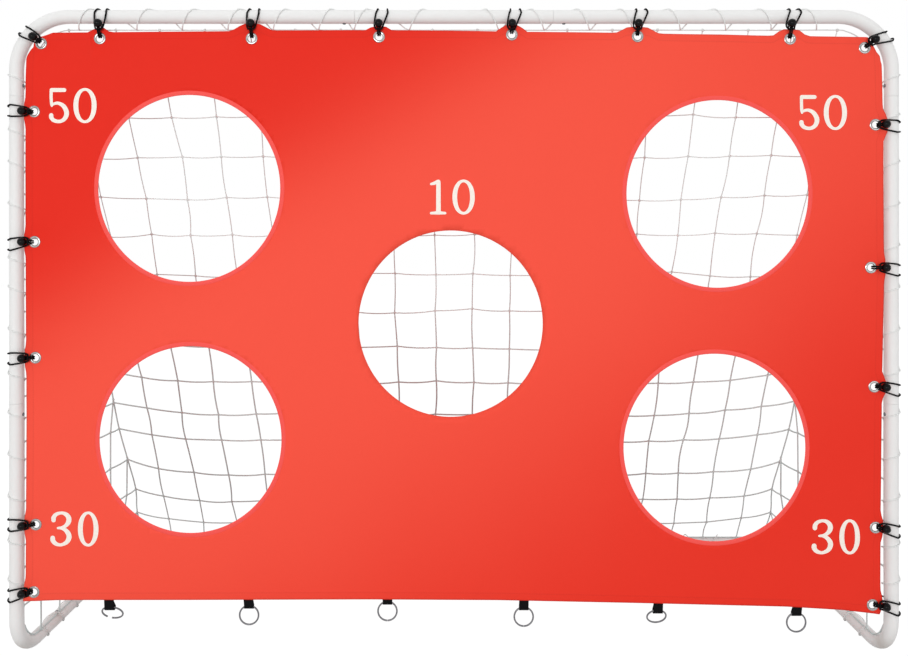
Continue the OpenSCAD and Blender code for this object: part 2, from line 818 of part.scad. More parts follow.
lacings = [top_lacing(-1), top_lacing(1), post_lacing(ties_left), post_lacing(ties_right)];
echo(least_gaps_of_lacing = [for (p = lacings) least_gap(p, floor(lace_rings * 0.6), lace_d)]);
echo(least_gap_of_bungees = min([for (t = all_ties) least_gap(loop_path(t), 4, elastic_d)]));

// ---------------------------------------------------------------- nodes

mirror([1, 0, 0]) top_corner();  // top_corner_left
top_corner();  // top_corner_right
centre_tube(joint_top);  // top_centre_tube
mirror([1, 0, 0]) post_tube();  // post_tube_left
post_tube();  // post_tube_right
mirror([1, 0, 0]) bottom_corner();  // bottom_corner_left
bottom_corner();  // bottom_corner_right
mirror([1, 0, 0]) rear_corner();  // rear_corner_left
rear_corner();  // rear_corner_right
centre_tube(joint_rear);  // rear_centre_tube
mirror([1, 0, 0]) snap_button(joint_top);  // snap_button_top_left
snap_button(joint_top);  // snap_button_top_right
mirror([1, 0, 0]) snap_button(joint_upper);  // snap_button_upper_left
snap_button(joint_upper);  // snap_button_upper_right
mirror([1, 0, 0]) snap_button(joint_lower);  // snap_button_lower_left
snap_button(joint_lower);  // snap_button_lower_right
mirror([1, 0, 0]) snap_button(joint_base);  // snap_button_base_left
snap_button(joint_base);  // snap_button_base_right
mirror([1, 0, 0]) snap_button(joint_rear);  // snap_button_rear_left
snap_button(joint_rear);  // snap_button_rear_right
snap_springs();
target_sheet();
hole_bindings();
grommets();
bungee_cords_top();
bungee_cords_left();
bungee_cords_right();
bungee_balls();
ring_straps();
peg_ring(0);  // peg_ring_1
peg_ring(1);  // peg_ring_2
peg_ring(2);  // peg_ring_3
peg_ring(3);  // peg_ring_4
peg_ring(4);  // peg_ring_5
peg_ring(5);  // peg_ring_6
net_back();
mirror([1, 0, 0]) net_side();  // net_side_left
net_side();  // net_side_right
lacing_top(-1);  // lacing_top_left
mirror([1, 0, 0]) lacing_top(1);  // lacing_top_right
lacing_post(ties_left);  // lacing_post_left
mirror([1, 0, 0]) lacing_post(ties_right);  // lacing_post_right
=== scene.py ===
"""Target net goal: cloth, cords, net and finishes on its plug-together tube frame."""

import json
from math import atan2, copysign, cos, hypot, pi, radians, sin, sqrt, tau

import bmesh
import bpy
from mathutils import Matrix, Vector, noise


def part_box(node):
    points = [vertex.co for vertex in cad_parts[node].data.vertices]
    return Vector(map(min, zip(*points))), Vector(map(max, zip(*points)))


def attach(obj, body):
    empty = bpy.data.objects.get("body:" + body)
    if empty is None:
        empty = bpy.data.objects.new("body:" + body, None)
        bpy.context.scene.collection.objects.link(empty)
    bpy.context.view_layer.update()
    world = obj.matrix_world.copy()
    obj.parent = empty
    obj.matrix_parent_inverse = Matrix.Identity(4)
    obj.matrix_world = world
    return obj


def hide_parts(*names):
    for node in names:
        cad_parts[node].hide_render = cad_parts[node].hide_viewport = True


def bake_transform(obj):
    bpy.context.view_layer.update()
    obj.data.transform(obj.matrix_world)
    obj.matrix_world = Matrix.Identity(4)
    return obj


bl_info = {
    "name": "Target net goal",
    "version": (1, 0, 0),
    "blender": (4, 2, 0),
    "location": "3D View > Sidebar > Goal",
    "description": "Dresses a tube goal frame with its target sheet, bungees, net and lacing",
    "category": "Object",
}

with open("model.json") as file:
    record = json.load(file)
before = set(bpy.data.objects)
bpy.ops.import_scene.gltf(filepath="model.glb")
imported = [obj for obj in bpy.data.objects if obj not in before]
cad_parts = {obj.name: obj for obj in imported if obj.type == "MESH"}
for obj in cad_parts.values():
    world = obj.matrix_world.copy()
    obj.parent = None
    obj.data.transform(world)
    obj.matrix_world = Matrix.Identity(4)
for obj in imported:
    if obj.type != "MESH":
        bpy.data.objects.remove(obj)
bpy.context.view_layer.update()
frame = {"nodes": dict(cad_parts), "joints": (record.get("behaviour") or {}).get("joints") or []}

# ---- places taken from the frame


def middle(node):
    low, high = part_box(node)
    return (low + high) / 2


POST_LOW, POST_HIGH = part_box("post_tube_right")
TUBE_R = (POST_HIGH.x - POST_LOW.x) / 2
POST_X, FRONT_Y, _ = middle("post_tube_right")
TOP_Z = middle("top_centre_tube").z
REAR_Y = middle("rear_centre_tube").y
TOP_BEND_R = 0.127
SHEET_Y = middle("target_sheet").y
SHEET_T = 0.0008
FACE_Y = SHEET_Y - SHEET_T / 2
SIDES = ("left", "right")
TUBES = ["top_centre_tube", "rear_centre_tube"]
TUBES += [f"{tube}_{side}" for tube in ("top_corner", "post_tube", "bottom_corner", "rear_corner")
          for side in SIDES]
BUTTONS = [f"snap_button_{place}_{side}" for place in ("top", "upper", "lower", "base", "rear")
           for side in SIDES]
RINGS = [f"peg_ring_{i}" for i in range(1, 7)]


def clusters(node, reach=0.03):
    """Middles of the separate small solids in a node, from the boxes of their points."""
    seeds, groups = [], []
    for vertex in frame["nodes"][node].data.vertices:
        for seed, group in zip(seeds, groups):
            if (vertex.co - seed).length < reach:
                group.append(vertex.co)
                break
        else:
            seeds.append(vertex.co.copy())
            groups.append([vertex.co])
    return [Vector([(min(p[k] for p in g) + max(p[k] for p in g)) / 2 for k in range(3)])
            for g in groups]


class Tie:
    """Where one eyelet is tied to the tube: the tube's axis, the way out from it and along it."""

    def __init__(self, eyelet):
        side = 1 if eyelet.x > 0 else -1
        bend_x, bend_z = POST_X - TOP_BEND_R, TOP_Z - TOP_BEND_R
        if abs(eyelet.x) < bend_x - 0.01:
            self.axis = Vector((eyelet.x, FRONT_Y, TOP_Z))
            self.out = Vector((0, 0, 1))
        elif eyelet.z < bend_z:
            self.axis = Vector((side * POST_X, FRONT_Y, eyelet.z))
            self.out = Vector((side, 0, 0))
        else:
            centre = Vector((side * bend_x, FRONT_Y, bend_z))
            self.out = Vector((eyelet.x - centre.x, 0, eyelet.z - centre.z)).normalized()
            self.axis = centre + self.out * TOP_BEND_R
        self.eyelet = eyelet
        self.along = Vector((self.out.z, 0, -self.out.x))
        self.reach = (self.axis - Vector((eyelet.x, FRONT_Y, eyelet.z))).length
        self.group = "top" if self.out.z == 1 else "right" if side > 0 else "left"

    def place(self, u, v, w):
        """Millimetres along the tube, out from it and to the front, as a point."""
        return self.axis + (self.along * u + self.out * v - Vector((0, 1, 0)) * w) / 1000


TIES = [Tie(eyelet) for eyelet in clusters("grommets")]


def ties_along(group, corner=True):
    """The ties of one group in order, across the top or down a side from its upper corner."""
    ties = [tie for tie in TIES if tie.group == group and (corner or tie.out.z in (0, 1))]
    return sorted(ties, key=lambda tie: tie.eyelet.x if group == "top" else -tie.eyelet.z)


# ---- settings


def colour(name, description, default):
    return bpy.props.FloatVectorProperty(
        name=name, description=description, subtype="COLOR", size=3, min=0, max=1, default=default)


def amount(name, description, default, low, high, unit="LENGTH"):
    return bpy.props.FloatProperty(
        name=name, description=description, unit=unit, min=low, max=high, default=default)


class ClothSettings(bpy.types.PropertyGroup):
    """Target sheet, its hole bindings and its numbers."""

    # The sheet's red is mixed with a lighter red in a diagonal band: that lighter red is a painted
    # sheen.
    red: colour("Red", "Colour of the sheet away from its light band", (0.84, 0.023, 0.009))
    sheen_red: colour("Light red", "Colour of the sheet in its light diagonal band",
                      (0.99, 0.093, 0.055))
    binding: colour("Binding", "Colour of the tape round the outer holes", (1.0, 0.105, 0.090))
    print_white: colour("Numbers", "Colour of the printed numbers", (1.0, 0.93, 0.84))
    ripple: amount("Ripple", "Depth of the soft waves in the sheet", 0.0015, 0, 0.01)
    number_height: amount("Number height", "Height of the printed numbers", 0.0832, 0.04, 0.2)


class CordSettings(bpy.types.PropertyGroup):
    """Elastic loops, balls and ring tabs."""

    black: colour("Black", "Colour of the elastic and the webbing", (0.003, 0.003, 0.0035))
    elastic: amount("Elastic thickness", "Diameter of the elastic cord", 0.004, 0.002, 0.006)


class NetSettings(bpy.types.PropertyGroup):
    """Net and the cord that laces it to the tubes."""

    white: colour("Twine", "Colour of the net twine", (0.92, 0.93, 0.92))
    twine: amount("Twine thickness", "Diameter of the net twine", 0.0035, 0.001, 0.005)
    lace: amount("Lacing thickness", "Diameter of the lacing cord", 0.003, 0.001, 0.005)
    sag: amount("Sag", "How far a string of one mesh hangs in its middle", 0.0022, 0, 0.01)


class MetalSettings(bpy.types.PropertyGroup):
    """Frame tubes and small metal pieces."""

    coat: colour("Powder coat", "Colour of the frame tubes", (0.87, 0.87, 0.862))
    zinc: colour("Zinc", "Colour of the rings, buttons and springs", (0.17, 0.17, 0.18))
    nickel: colour("Nickel", "Colour of the eyelets", (0.36, 0.355, 0.35))


class StageSettings(bpy.types.PropertyGroup):
    """Camera, light and floor."""

    eye_height: amount("Eye height", "Height of the camera above the floor", 1.022, 0.3, 3)
    eye_distance: amount("Eye distance", "From the camera to the front tubes", 1.95, 1, 6)
    lens: amount("Lens", "Focal length of the camera", 32.26, 15, 100, "CAMERA")
    drop: amount("Lens shift", "Vertical shift of the picture", -0.1013, -0.5, 0.5, "NONE")
    key_power: amount("Main light", "Power of the main lamp", 105, 0, 2000, "POWER")
    room_light: amount("Room light", "Strength of the light from all round", 0.70, 0, 2, "NONE")


SETTINGS = {
    "goal_cloth": ClothSettings,
    "goal_cord": CordSettings,
    "goal_net": NetSettings,
    "goal_metal": MetalSettings,
    "goal_stage": StageSettings,
}

# ---- materials


class Value:
    """A node socket that takes part in sums."""

    def __init__(self, paint, socket):
        self.paint = paint
        self.socket = socket

    def maths(self, operation, *others, swap=False):
        terms = [*others, self] if swap else [self, *others]
        return self.paint.node("ShaderNodeMath", {"operation": operation}, dict(enumerate(terms)))

    def __add__(self, other):
        return self.maths("ADD", other)

    __radd__ = __add__

    def __sub__(self, other):
        return self.maths("SUBTRACT", other)

    def __rsub__(self, other):
        return self.maths("SUBTRACT", other, swap=True)

    def __mul__(self, other):
        return self.maths("MULTIPLY", other)

    __rmul__ = __mul__

    def within(self, low, high):
        """0 below low, 1 above high and smooth between."""
        return self.paint.node("ShaderNodeMapRange", {"interpolation_type": "SMOOTHSTEP"},
                               {0: self, 1: low, 2: high, 3: 0.0, 4: 1.0})


class Paint:
    """A material built from nodes round one shader."""

    def __init__(self, name, **sockets):
        self.material = bpy.data.materials.new(name)
        self.material.use_nodes = True
        self.tree = self.material.node_tree
        self.tree.nodes.clear()
        self.shader = self.tree.nodes.new("ShaderNodeBsdfPrincipled")
        output = self.tree.nodes.new("ShaderNodeOutputMaterial")
        self.tree.links.new(self.shader.outputs[0], output.inputs[0])
        self.place = self.node("ShaderNodeTexCoord", out="Object")
        for name, value in sockets.items():
            self.shader.inputs[name.replace("_", " ")].default_value = value

    def node(self, kind, settings=None, inputs=None, out=0):
        made = self.tree.nodes.new(kind)
        for key, value in (settings or {}).items():
            setattr(made, key, value)
        for key, value in (inputs or {}).items():
            if isinstance(value, Value):
                self.tree.links.new(value.socket, made.inputs[key])
            else:
                made.inputs[key].default_value = value
        return Value(self, made.outputs[out])

    def noise(self, scale, detail, place=None):
        return self.node("ShaderNodeTexNoise", None, {
            "Vector": place or self.place, "Scale": scale, "Detail": detail})

    def wave(self, direction, scale, distortion, detail):
        return self.node("ShaderNodeTexWave", {"bands_direction": direction}, {
            "Vector": self.place, "Scale": scale, "Distortion": distortion, "Detail": detail})

    def stretched(self, x, y, z):
        """Object place with each axis scaled."""
        return self.node("ShaderNodeMapping", None, {"Vector": self.place, "Scale": (x, y, z)})

    def axis(self, index):
        return self.node("ShaderNodeSeparateXYZ", None, {0: self.place}, index)

    def attribute(self, name):
        return self.node("ShaderNodeAttribute", {"attribute_name": name}, None, "Fac")

    def mix(self, share, first, second):
        """Colour between two colours, each a tuple of three or a value."""
        ends = [c if isinstance(c, Value) else (*c[:3], 1.0) for c in (first, second)]
        sockets = {0: share, 6: ends[0], 7: ends[1]}
        return self.node("ShaderNodeMix", {"data_type": "RGBA"}, sockets, 2)

    def finished(self, colour, roughness, relief, depth, strength):
        """The material with this colour and roughness, and a relief "depth" metres deep."""
        bump = self.node("ShaderNodeBump", None, {
            "Height": relief, "Distance": depth, "Strength": strength})
        for socket, value in (("Base Color", colour), ("Roughness", roughness), ("Normal", bump)):
            self.tree.links.new(value.socket, self.shader.inputs[socket])
        return self.material


def shaded(colour, share, lift=0.0):
    """A colour made darker or lighter."""
    return tuple(c * share + lift for c in colour)


def tube_coat(settings):
    paint = Paint("tube_coat", Specular_IOR_Level=0.12)
    # Random patches of wear, stronger towards the bottom
    toned = paint.noise(9, 6).within(0.56, 0.78)
    low = 1 - paint.axis(2).within(0.03, 0.22)
    ground = 1 - paint.axis(2).within(0.0, 0.062)
    # Painted shade: the toe of each front bend, low at the front, is painted brownish, like the
    # reflection of a wooden floor
    painted_toe_shade = ground * (1 - paint.axis(1).within(FRONT_Y, FRONT_Y + 0.07))
    scuff_and_toe_shade = toned * (low * 0.30 + 0.06) + painted_toe_shade * 0.75
    return paint.finished(paint.mix(scuff_and_toe_shade, settings.coat, (0.50, 0.43, 0.37)),
                          paint.noise(30, 3) * 0.12 + 0.36, paint.noise(900, 2), 0.00025, 0.35)


def zinc_steel(settings):
    paint = Paint("zinc_steel", Metallic=1.0)
    spots = paint.mix(paint.noise(320, 4), shaded(settings.zinc, 0.8), shaded(settings.zinc, 1.2))
    return paint.finished(spots, paint.noise(140, 4) * 0.25 + 0.28,
                          paint.noise(700, 3), 0.0001, 0.4)


def nickel_plate(settings):
    paint = Paint("nickel_plate", Metallic=1.0)
    plate = paint.mix(paint.noise(260, 4), shaded(settings.nickel, 0.85), settings.nickel)
    return paint.finished(plate, paint.noise(180, 3) * 0.2 + 0.16, paint.noise(500, 2), 0.0001, 0.3)


def moulded_ball(_):
    paint = Paint("moulded_ball", Specular_IOR_Level=0.12)
    black = paint.mix(paint.noise(90, 3), (0.0015, 0.0015, 0.002), (0.004, 0.004, 0.0045))
    return paint.finished(black, paint.noise(200, 3) * 0.1 + 0.2, paint.noise(600, 2), 0.0001, 0.2)


def braided_elastic(settings):
    paint = Paint("braided_elastic", Specular_IOR_Level=0.05)
    wraps = paint.wave("DIAGONAL", 380.0, 1.5, 2.0)
    black = paint.mix(wraps, settings.black, shaded(settings.black, 2, 0.001))
    return paint.finished(black, paint.noise(300, 3) * 0.2 + 0.5, wraps, 0.0003, 0.6)


def woven_webbing(settings):
    paint = Paint("woven_webbing", Specular_IOR_Level=0.06)
    weave = paint.wave("Z", 250.0, 0.6, 1.0) * 0.6 + paint.wave("X", 190.0, 0.4, 1.0) * 0.4
    black = paint.mix(weave, settings.black, shaded(settings.black, 2, 0.001))
    return paint.finished(black, paint.noise(200, 3) * 0.15 + 0.62, weave, 0.0004, 0.7)


def lacing_cord(settings):
    # The lacing cord gets only a faint painted shade low down, and no cool tint
    return twisted_twine(settings, "lacing_cord", 0.95, 1)


def twisted_twine(settings, name="twisted_twine", low_shade=0.78, warmth=0.9):
    """Twine that is painted greyer low down, a painted shade down to the share given after its
    name, and has its red share taken back by "warmth" as a painted cool tint against the red light
    from the sheet.
    """
    paint = Paint(name, Specular_IOR_Level=0.1)
    # The red share is cut, a painted cool tint against the red light that the sheet throws on the
    # twine
    white = (settings.white[0] * warmth, settings.white[1], settings.white[2])
    lay = paint.wave("DIAGONAL", 330.0, 2.0, 2.0)
    # Painted shade: darker low in the net, with a little random grime from the noise
    low = 1 - paint.axis(2).within(0.45, 1.0)
    low_shade_and_grime = low * 0.6 + paint.noise(14, 4).within(0.4, 0.75) * 0.1
    toned = paint.mix(low_shade_and_grime, white, shaded(white, low_shade))
    twine = paint.mix(lay, paint.mix(0.1, toned, (0.3, 0.3, 0.29)), toned)
    return paint.finished(twine, paint.noise(200, 3) * 0.15 + 0.7, lay, 0.0004, 0.6)


def target_cloth(settings):
    paint = Paint("target_cloth", Specular_IOR_Level=0.15)
    x, z = paint.axis(0), paint.axis(2)
    # A painted sheen, a light diagonal band with clouds in it, runs across the sheet; it is weaker
    # towards the right, a painted shade on that side
    slope = z * 0.854 - x * 0.52
    band = (slope.within(-0.15, 0.85) * 0.75 + 0.25) * (1 - slope.within(0.93, 1.48))
    sheen_cloud = paint.noise(1.3, 2) * 0.24 - 0.12
    share = (band + sheen_cloud).within(0, 1) * (1 - x.within(0.3, 1.0) * 0.2)
    red = paint.mix(share, settings.red, settings.sheen_red)
    threads = (paint.noise(1, 2, paint.stretched(90, 900, 1400))
               + paint.noise(1, 2, paint.stretched(1400, 900, 90))) * 0.5
    # Distances in from the sheet's edge: the end of the hem, its fold and its seam
    edge = paint.attribute("edge")
    hem = 1 - edge.within(0.0185, 0.0195)
    fold = 1 - edge.within(0.0, 0.0035)
    seam = edge.within(0.0150, 0.0158) * (1 - edge.within(0.0168, 0.0176))
    per_metre = 250
    dash_x, dash_z = ((way * per_metre).maths("FRACT").within(0.3, 0.4) for way in (x, z))
    upright = paint.attribute("upright")
    stitch = seam * (dash_z * upright + dash_x * (1 - upright))
    dark = paint.mix(threads * 0.08, red, (0.45, 0.01, 0.01))
    dark = paint.mix(hem * 0.03 + fold * 0.22, dark, (0.40, 0.008, 0.006))
    return paint.finished(paint.mix(stitch * 0.14, dark, (0.35, 0.01, 0.01)), threads * 0.2 + 0.5,
                          threads * 0.12 + hem * 0.25 - stitch * 0.2, 0.0006, 0.5)


def bias_tape(settings):
    paint = Paint("bias_tape", Specular_IOR_Level=0.15)
    grain = paint.noise(1, 2, paint.stretched(500, 500, 500))
    tape = paint.mix(grain, shaded(settings.binding, 0.93), settings.binding)
    return paint.finished(tape, paint.noise(160, 3) * 0.15 + 0.5, grain, 0.0004, 0.5)


def printed_white(settings):
    paint = Paint("printed_white", Specular_IOR_Level=0.2)
    ink = paint.mix(paint.noise(240, 4).within(0.35, 0.7), settings.print_white,
                    shaded(settings.print_white, 0.95))
    return paint.finished(ink, paint.noise(120, 2) * 0.1 + 0.5, paint.noise(1200, 2), 0.0002, 0.3)


FINISHES = {
    "goal_metal": (tube_coat, zinc_steel, nickel_plate),
    "goal_cord": (moulded_ball, braided_elastic, woven_webbing),
    "goal_net": (twisted_twine, lacing_cord),
    "goal_cloth": (target_cloth, bias_tape, printed_white),
}


def finish_named(name):
    """The material of that name, made the first time that it is asked for."""
    if name not in bpy.data.materials:
        for group, makers in FINISHES.items():
            for make in makers:
                if make.__name__ == name:
                    make(getattr(bpy.context.scene, group))
    return bpy.data.materials[name]


# ---- shared making


def mesh_from(bm, name):
    """A worked mesh under its name. The working copy is used up."""
    mesh = bpy.data.meshes.new(name)
    bm.to_mesh(mesh)
    bm.free()
    return mesh


def add_object(name, data):
    made = bpy.data.objects.new(name, data)
    bpy.context.scene.collection.objects.link(made)
    return made


def add_piece(name, mesh, finish, body="frame", smooth=True):
    """Puts a finished or a worked mesh into the scene, on its body and with its material."""
    if isinstance(mesh, bmesh.types.BMesh):
        mesh = mesh_from(mesh, name)
    mesh.name = name
    mesh.materials.clear()
    mesh.materials.append(finish_named(finish))
    if smooth:
        mesh.polygons.foreach_set("use_smooth", [True] * len(mesh.polygons))
    piece = add_object(name, mesh)
    if body:
        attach(piece, body)
    return piece


def refinish(nodes, finish):
    """Gives carried-over nodes their material."""
    for node in nodes:
        data = frame["nodes"][node].data
        data.materials.clear()
        data.materials.append(finish_named(finish))


def thicken(piece, thickness):
    wall = piece.modifiers.new("thickness", "SOLIDIFY")
    wall.thickness = thickness
    wall.offset = 0


def face_front(bm):
    for face in bm.faces:
        if face.normal.y > 0:
            face.normal_flip()


def mesh_of(curve):
    """A curve as a mesh. The curve is used up."""
    holder = add_object("holder", curve)
    graph = bpy.context.evaluated_depsgraph_get()
    mesh = bpy.data.meshes.new_from_object(holder.evaluated_get(graph))
    bpy.data.objects.remove(holder)
    bpy.data.curves.remove(curve)
    return mesh


def add_spline(curve, places):
    spline = curve.splines.new("POLY")
    spline.points.add(len(places) - 1)
    for point, place in zip(spline.points, places):
        point.co = (*place, 1)
    return spline


def strand_mesh(paths, radius, rounding=2, fullness=None):
    """Round cord along each path, full by "fullness" of a point's height where that is given."""
    curve = bpy.data.curves.new("strand", "CURVE")
    curve.dimensions = "3D"
    curve.bevel_depth = radius
    curve.bevel_resolution = rounding
    curve.use_fill_caps = True
    for path in paths:
        spline = add_spline(curve, path)
        if fullness:
            for point in spline.points:
                point.radius = fullness(point.co[2])
    return mesh_of(curve)


def smooth_path(points, steps=4):
    """Points on a smooth curve through the given ones."""
    points = [Vector(p) for p in points]
    ends = [points[0] * 2 - points[1], *points, points[-1] * 2 - points[-2]]
    path = []
    for a, b, c, d in zip(ends, ends[1:], ends[2:], ends[3:]):
        for i in range(steps):
            t = i / steps
            path.append(0.5 * (2 * b + (c - a) * t + (2 * a - 5 * b + 4 * c - d) * t * t
                               + (3 * b - a - 3 * c + d) * t ** 3))
    path.append(points[-1])
    return path


def between(table, x):
    """Value at x in a table of (x, value) pairs, straight between them."""
    if x <= table[0][0]:
        return table[0][1]
    for (x0, y0), (x1, y1) in zip(table, table[1:]):
        if x <= x1:
            return y0 + (y1 - y0) * (x - x0) / (x1 - x0)
    return table[-1][1]


def drift(seed, *place, size=1.0):
    """Smooth chance between -size and size that is the same in each run."""
    point = Vector([*place, 0, 0][:3]) + Vector((seed * 7.31, seed * 3.17, seed * 5.53))
    return noise.noise(point) * size


# ---- camera and stage


class GOAL_OT_camera(bpy.types.Operator):
    """Place the camera in front of the goal"""

    bl_idname = "goal.camera"
    bl_label = "Camera"

    def execute(self, context):
        stage = context.scene.goal_stage
        data = bpy.data.cameras.new("camera")
        data.lens = stage.lens
        data.sensor_width = 36
        data.shift_y = stage.drop
        camera = add_object("camera", data)
        camera.location = (0, FRONT_Y - stage.eye_distance, stage.eye_height)
        camera.rotation_euler = (radians(90), 0, 0)
        context.scene.camera = camera
        return {"FINISHED"}


def add_lamp(name, place, aim, size, power):
    data = bpy.data.lights.new(name, "AREA")
    data.shape = "DISK"
    data.size = size
    data.energy = power
    lamp = add_object(name, data)
    lamp.location = place
    lamp.rotation_euler = (Vector(aim) - Vector(place)).to_track_quat("-Z", "Y").to_euler()


def shown_apart(tree, kind, lighting, shown):
    """Joins two shaders to a tree's output: one that gives light, and one that a ray from the
    camera, a mirror or glass meets."""
    rays = tree.nodes.new("ShaderNodeLightPath")
    total = rays.outputs["Is Camera Ray"]
    for name in ("Is Glossy Ray", "Is Transmission Ray"):
        add = tree.nodes.new("ShaderNodeMath")
        add.operation = "MAXIMUM"
        tree.links.new(total, add.inputs[0])
        tree.links.new(rays.outputs[name], add.inputs[1])
        total = add.outputs[0]
    mix = tree.nodes.new("ShaderNodeMixShader")
    tree.links.new(total, mix.inputs[0])
    tree.links.new(lighting.outputs[0], mix.inputs[1])
    tree.links.new(shown.outputs[0], mix.inputs[2])
    tree.links.new(mix.outputs[0], tree.nodes.new(kind).inputs[0])


def add_shader(tree, kind, *values):
    """A node with its first inputs set."""
    made = tree.nodes.new(kind)
    for socket, value in zip(made.inputs, values):
        socket.default_value = value
    return made


class GOAL_OT_stage(bpy.types.Operator):
    """Make the floor, the white background and the soft light"""

    bl_idname = "goal.stage"
    bl_label = "Stage"

    def execute(self, context):
        scene = context.scene
        stage = scene.goal_stage
        scene.view_settings.view_transform = "Standard"
        self.make_world(scene, stage)
        self.make_floor()
        add_lamp("key", (-1.7, -6.0, 1.3), (0, -0.3, 0.6), 2.0, stage.key_power * 0.95)
        add_lamp("fill", (2.8, -5.0, 0.4), (0.3, -0.3, 0.4), 3.0, stage.key_power * 0.42)
        add_lamp("overhead", (-0.3, -0.2, 4.8), (0, 0, 0.8), 2.6, stage.key_power * 0.10)
        return {"FINISHED"}

    def make_world(self, scene, stage):
        world = bpy.data.worlds.new("studio")
        world.use_nodes = True
        tree = world.node_tree
        tree.nodes.clear()
        shown = add_shader(tree, "ShaderNodeBackground", (1, 1, 1, 1))
        lit = add_shader(tree, "ShaderNodeBackground", (1, 1, 1, 1), stage.room_light)
        shown_apart(tree, "ShaderNodeOutputWorld", lit, shown)
        scene.world = world

    def make_floor(self):
        bm = bmesh.new()
        bmesh.ops.create_grid(bm, x_segments=1, y_segments=1, size=14)
        mesh = mesh_from(bm, "floor")
        material = bpy.data.materials.new("pale_floor")
        material.use_nodes = True
        tree = material.node_tree
        tree.nodes.clear()
        matt = add_shader(tree, "ShaderNodeBsdfDiffuse", (0.55, 0.55, 0.55, 1))
        shown = add_shader(tree, "ShaderNodeBsdfDiffuse", (0.95, 0.95, 0.95, 1))
        glow = add_shader(tree, "ShaderNodeEmission", (1, 1, 1, 1), 1.07)
        white = add_shader(tree, "ShaderNodeMixShader", 0.9)
        tree.links.new(shown.outputs[0], white.inputs[1])
        tree.links.new(glow.outputs[0], white.inputs[2])
        shown_apart(tree, "ShaderNodeOutputMaterial", matt, white)
        mesh.materials.append(material)
        floor = add_object("floor", mesh)


# ---- frame and hardware


class GOAL_OT_tubes(bpy.types.Operator):
    """Finish the frame tubes in powder coat"""

    bl_idname = "goal.tubes"
    bl_label = "Frame tubes"

    def execute(self, context):
        refinish(TUBES, "tube_coat")
        return {"FINISHED"}


class GOAL_OT_hardware(bpy.types.Operator):
    """Finish the buttons, springs, rings, eyelets and balls"""

    bl_idname = "goal.hardware"
    bl_label = "Hardware"

    def execute(self, context):
        refinish([*BUTTONS, "snap_springs", *RINGS], "zinc_steel")
        refinish(["grommets"], "nickel_plate")
        refinish(["bungee_balls"], "moulded_ball")
        return {"FINISHED"}


# ---- target sheet

# Edge lines of the sheet in metres. Left and right run up the sheet, top and bottom across it.
# The pull of each tie comes on top of them.
LEFT_EDGE = [(0.14, -1.0200), (0.20, -1.0165), (0.60, -1.014), (0.92, -1.016), (1.20, -1.017),
             (1.40, -1.0165), (1.51, -1.012)]
RIGHT_EDGE = [(0.12, 1.006), (0.146, 1.014), (0.18, 1.012), (0.30, 1.012), (0.62, 1.015),
              (0.80, 1.018), (0.90, 1.020), (1.20, 1.019), (1.26, 1.019), (1.395, 1.016),
              (1.51, 1.013)]
TOP_LINE = [(-1.02, 1.507), (-0.97, 1.5045), (-0.87, 1.5052), (-0.74, 1.5062), (-0.56, 1.5077),
            (-0.42, 1.5098), (-0.25, 1.5106), (-0.10, 1.5102), (0.04, 1.5088), (0.18, 1.5065),
            (0.32, 1.5053), (0.40, 1.5042), (0.55, 1.5012), (0.64, 1.5002), (0.72, 1.4980),
            (0.90, 1.4955), (0.97, 1.4946), (1.03, 1.4945)]
BOTTOM_LINE = [(-1.02, 0.1545), (-0.985, 0.1552), (-0.94, 0.1580), (-0.60, 0.1585), (-0.2, 0.160),
               (0.108, 0.1585), (0.45, 0.151), (0.791, 0.1425), (0.93, 0.1345), (0.99, 0.127),
               (1.02, 0.123)]
# Outline of the upper corners round their eyelets, from the side edge to the top edge
CORNERS = {
    -1: [(-1.0165, 1.400), (-1.0157, 1.440), (-1.012, 1.451), (-1.0047, 1.464), (-0.9985, 1.471),
         (-0.9978, 1.480), (-0.9890, 1.493), (-0.976, 1.4965), (-0.965, 1.500), (-0.950, 1.505)],
    1: [(1.0159, 1.395), (1.0128, 1.437), (1.0105, 1.4497), (1.0030, 1.459), (0.9965, 1.472),
        (0.9890, 1.486), (0.9835, 1.493), (0.9787, 1.4957), (0.9697, 1.4957), (0.945, 1.4965)],
}
CORNER_HEART = (0.93, 1.41)
EYELET_R = 0.0105
# Distances in from the sheet's edge: its fold, both sides of the seam and the end of the hem
HEM = (0.0035, 0.0155, 0.0172, 0.0190)
# Middle, half width, half height and whether it has a tape binding
HOLES = [
    (-0.628, 1.135, 0.217, 0.223, True), (0.625, 1.122, 0.217, 0.224, True),
    (-0.625, 0.539, 0.217, 0.223, True), (0.618, 0.520, 0.217, 0.224, True),
    (-0.008, 0.814, 0.2185, 0.221, False),
]


def eased(x, low, high):
    """0 below low, 1 above high and smooth between."""
    t = min(1, max(0, (x - low) / (high - low)))
    return t * t * (3 - 2 * t)


def cloth_depth(x, z):
    """How far the sheet stands in front of its flat place, which it meets at every eyelet."""
    ripple = bpy.context.scene.goal_cloth.ripple
    wave = drift(1, x * 1.4, z * 1.1, size=1.1) + drift(2, x * 4.2, z * 3.4, size=0.35)
    pull, flat = 0, 1
    for tie in TIES:
        away = hypot(x - tie.eyelet.x, z - tie.eyelet.z)
        if away < 0.12:
            # Six small folds round the eyelet, which is itself held flat
            around = atan2(z - tie.eyelet.z, x - tie.eyelet.x)
            flat = eased(away, 0.014, 0.055)
            pull = sin(around * 6 + tie.eyelet.x * 9) * 0.30 * (1 - eased(away, 0.02, 0.12))
    return ripple * (1.0 + wave + pull) * flat


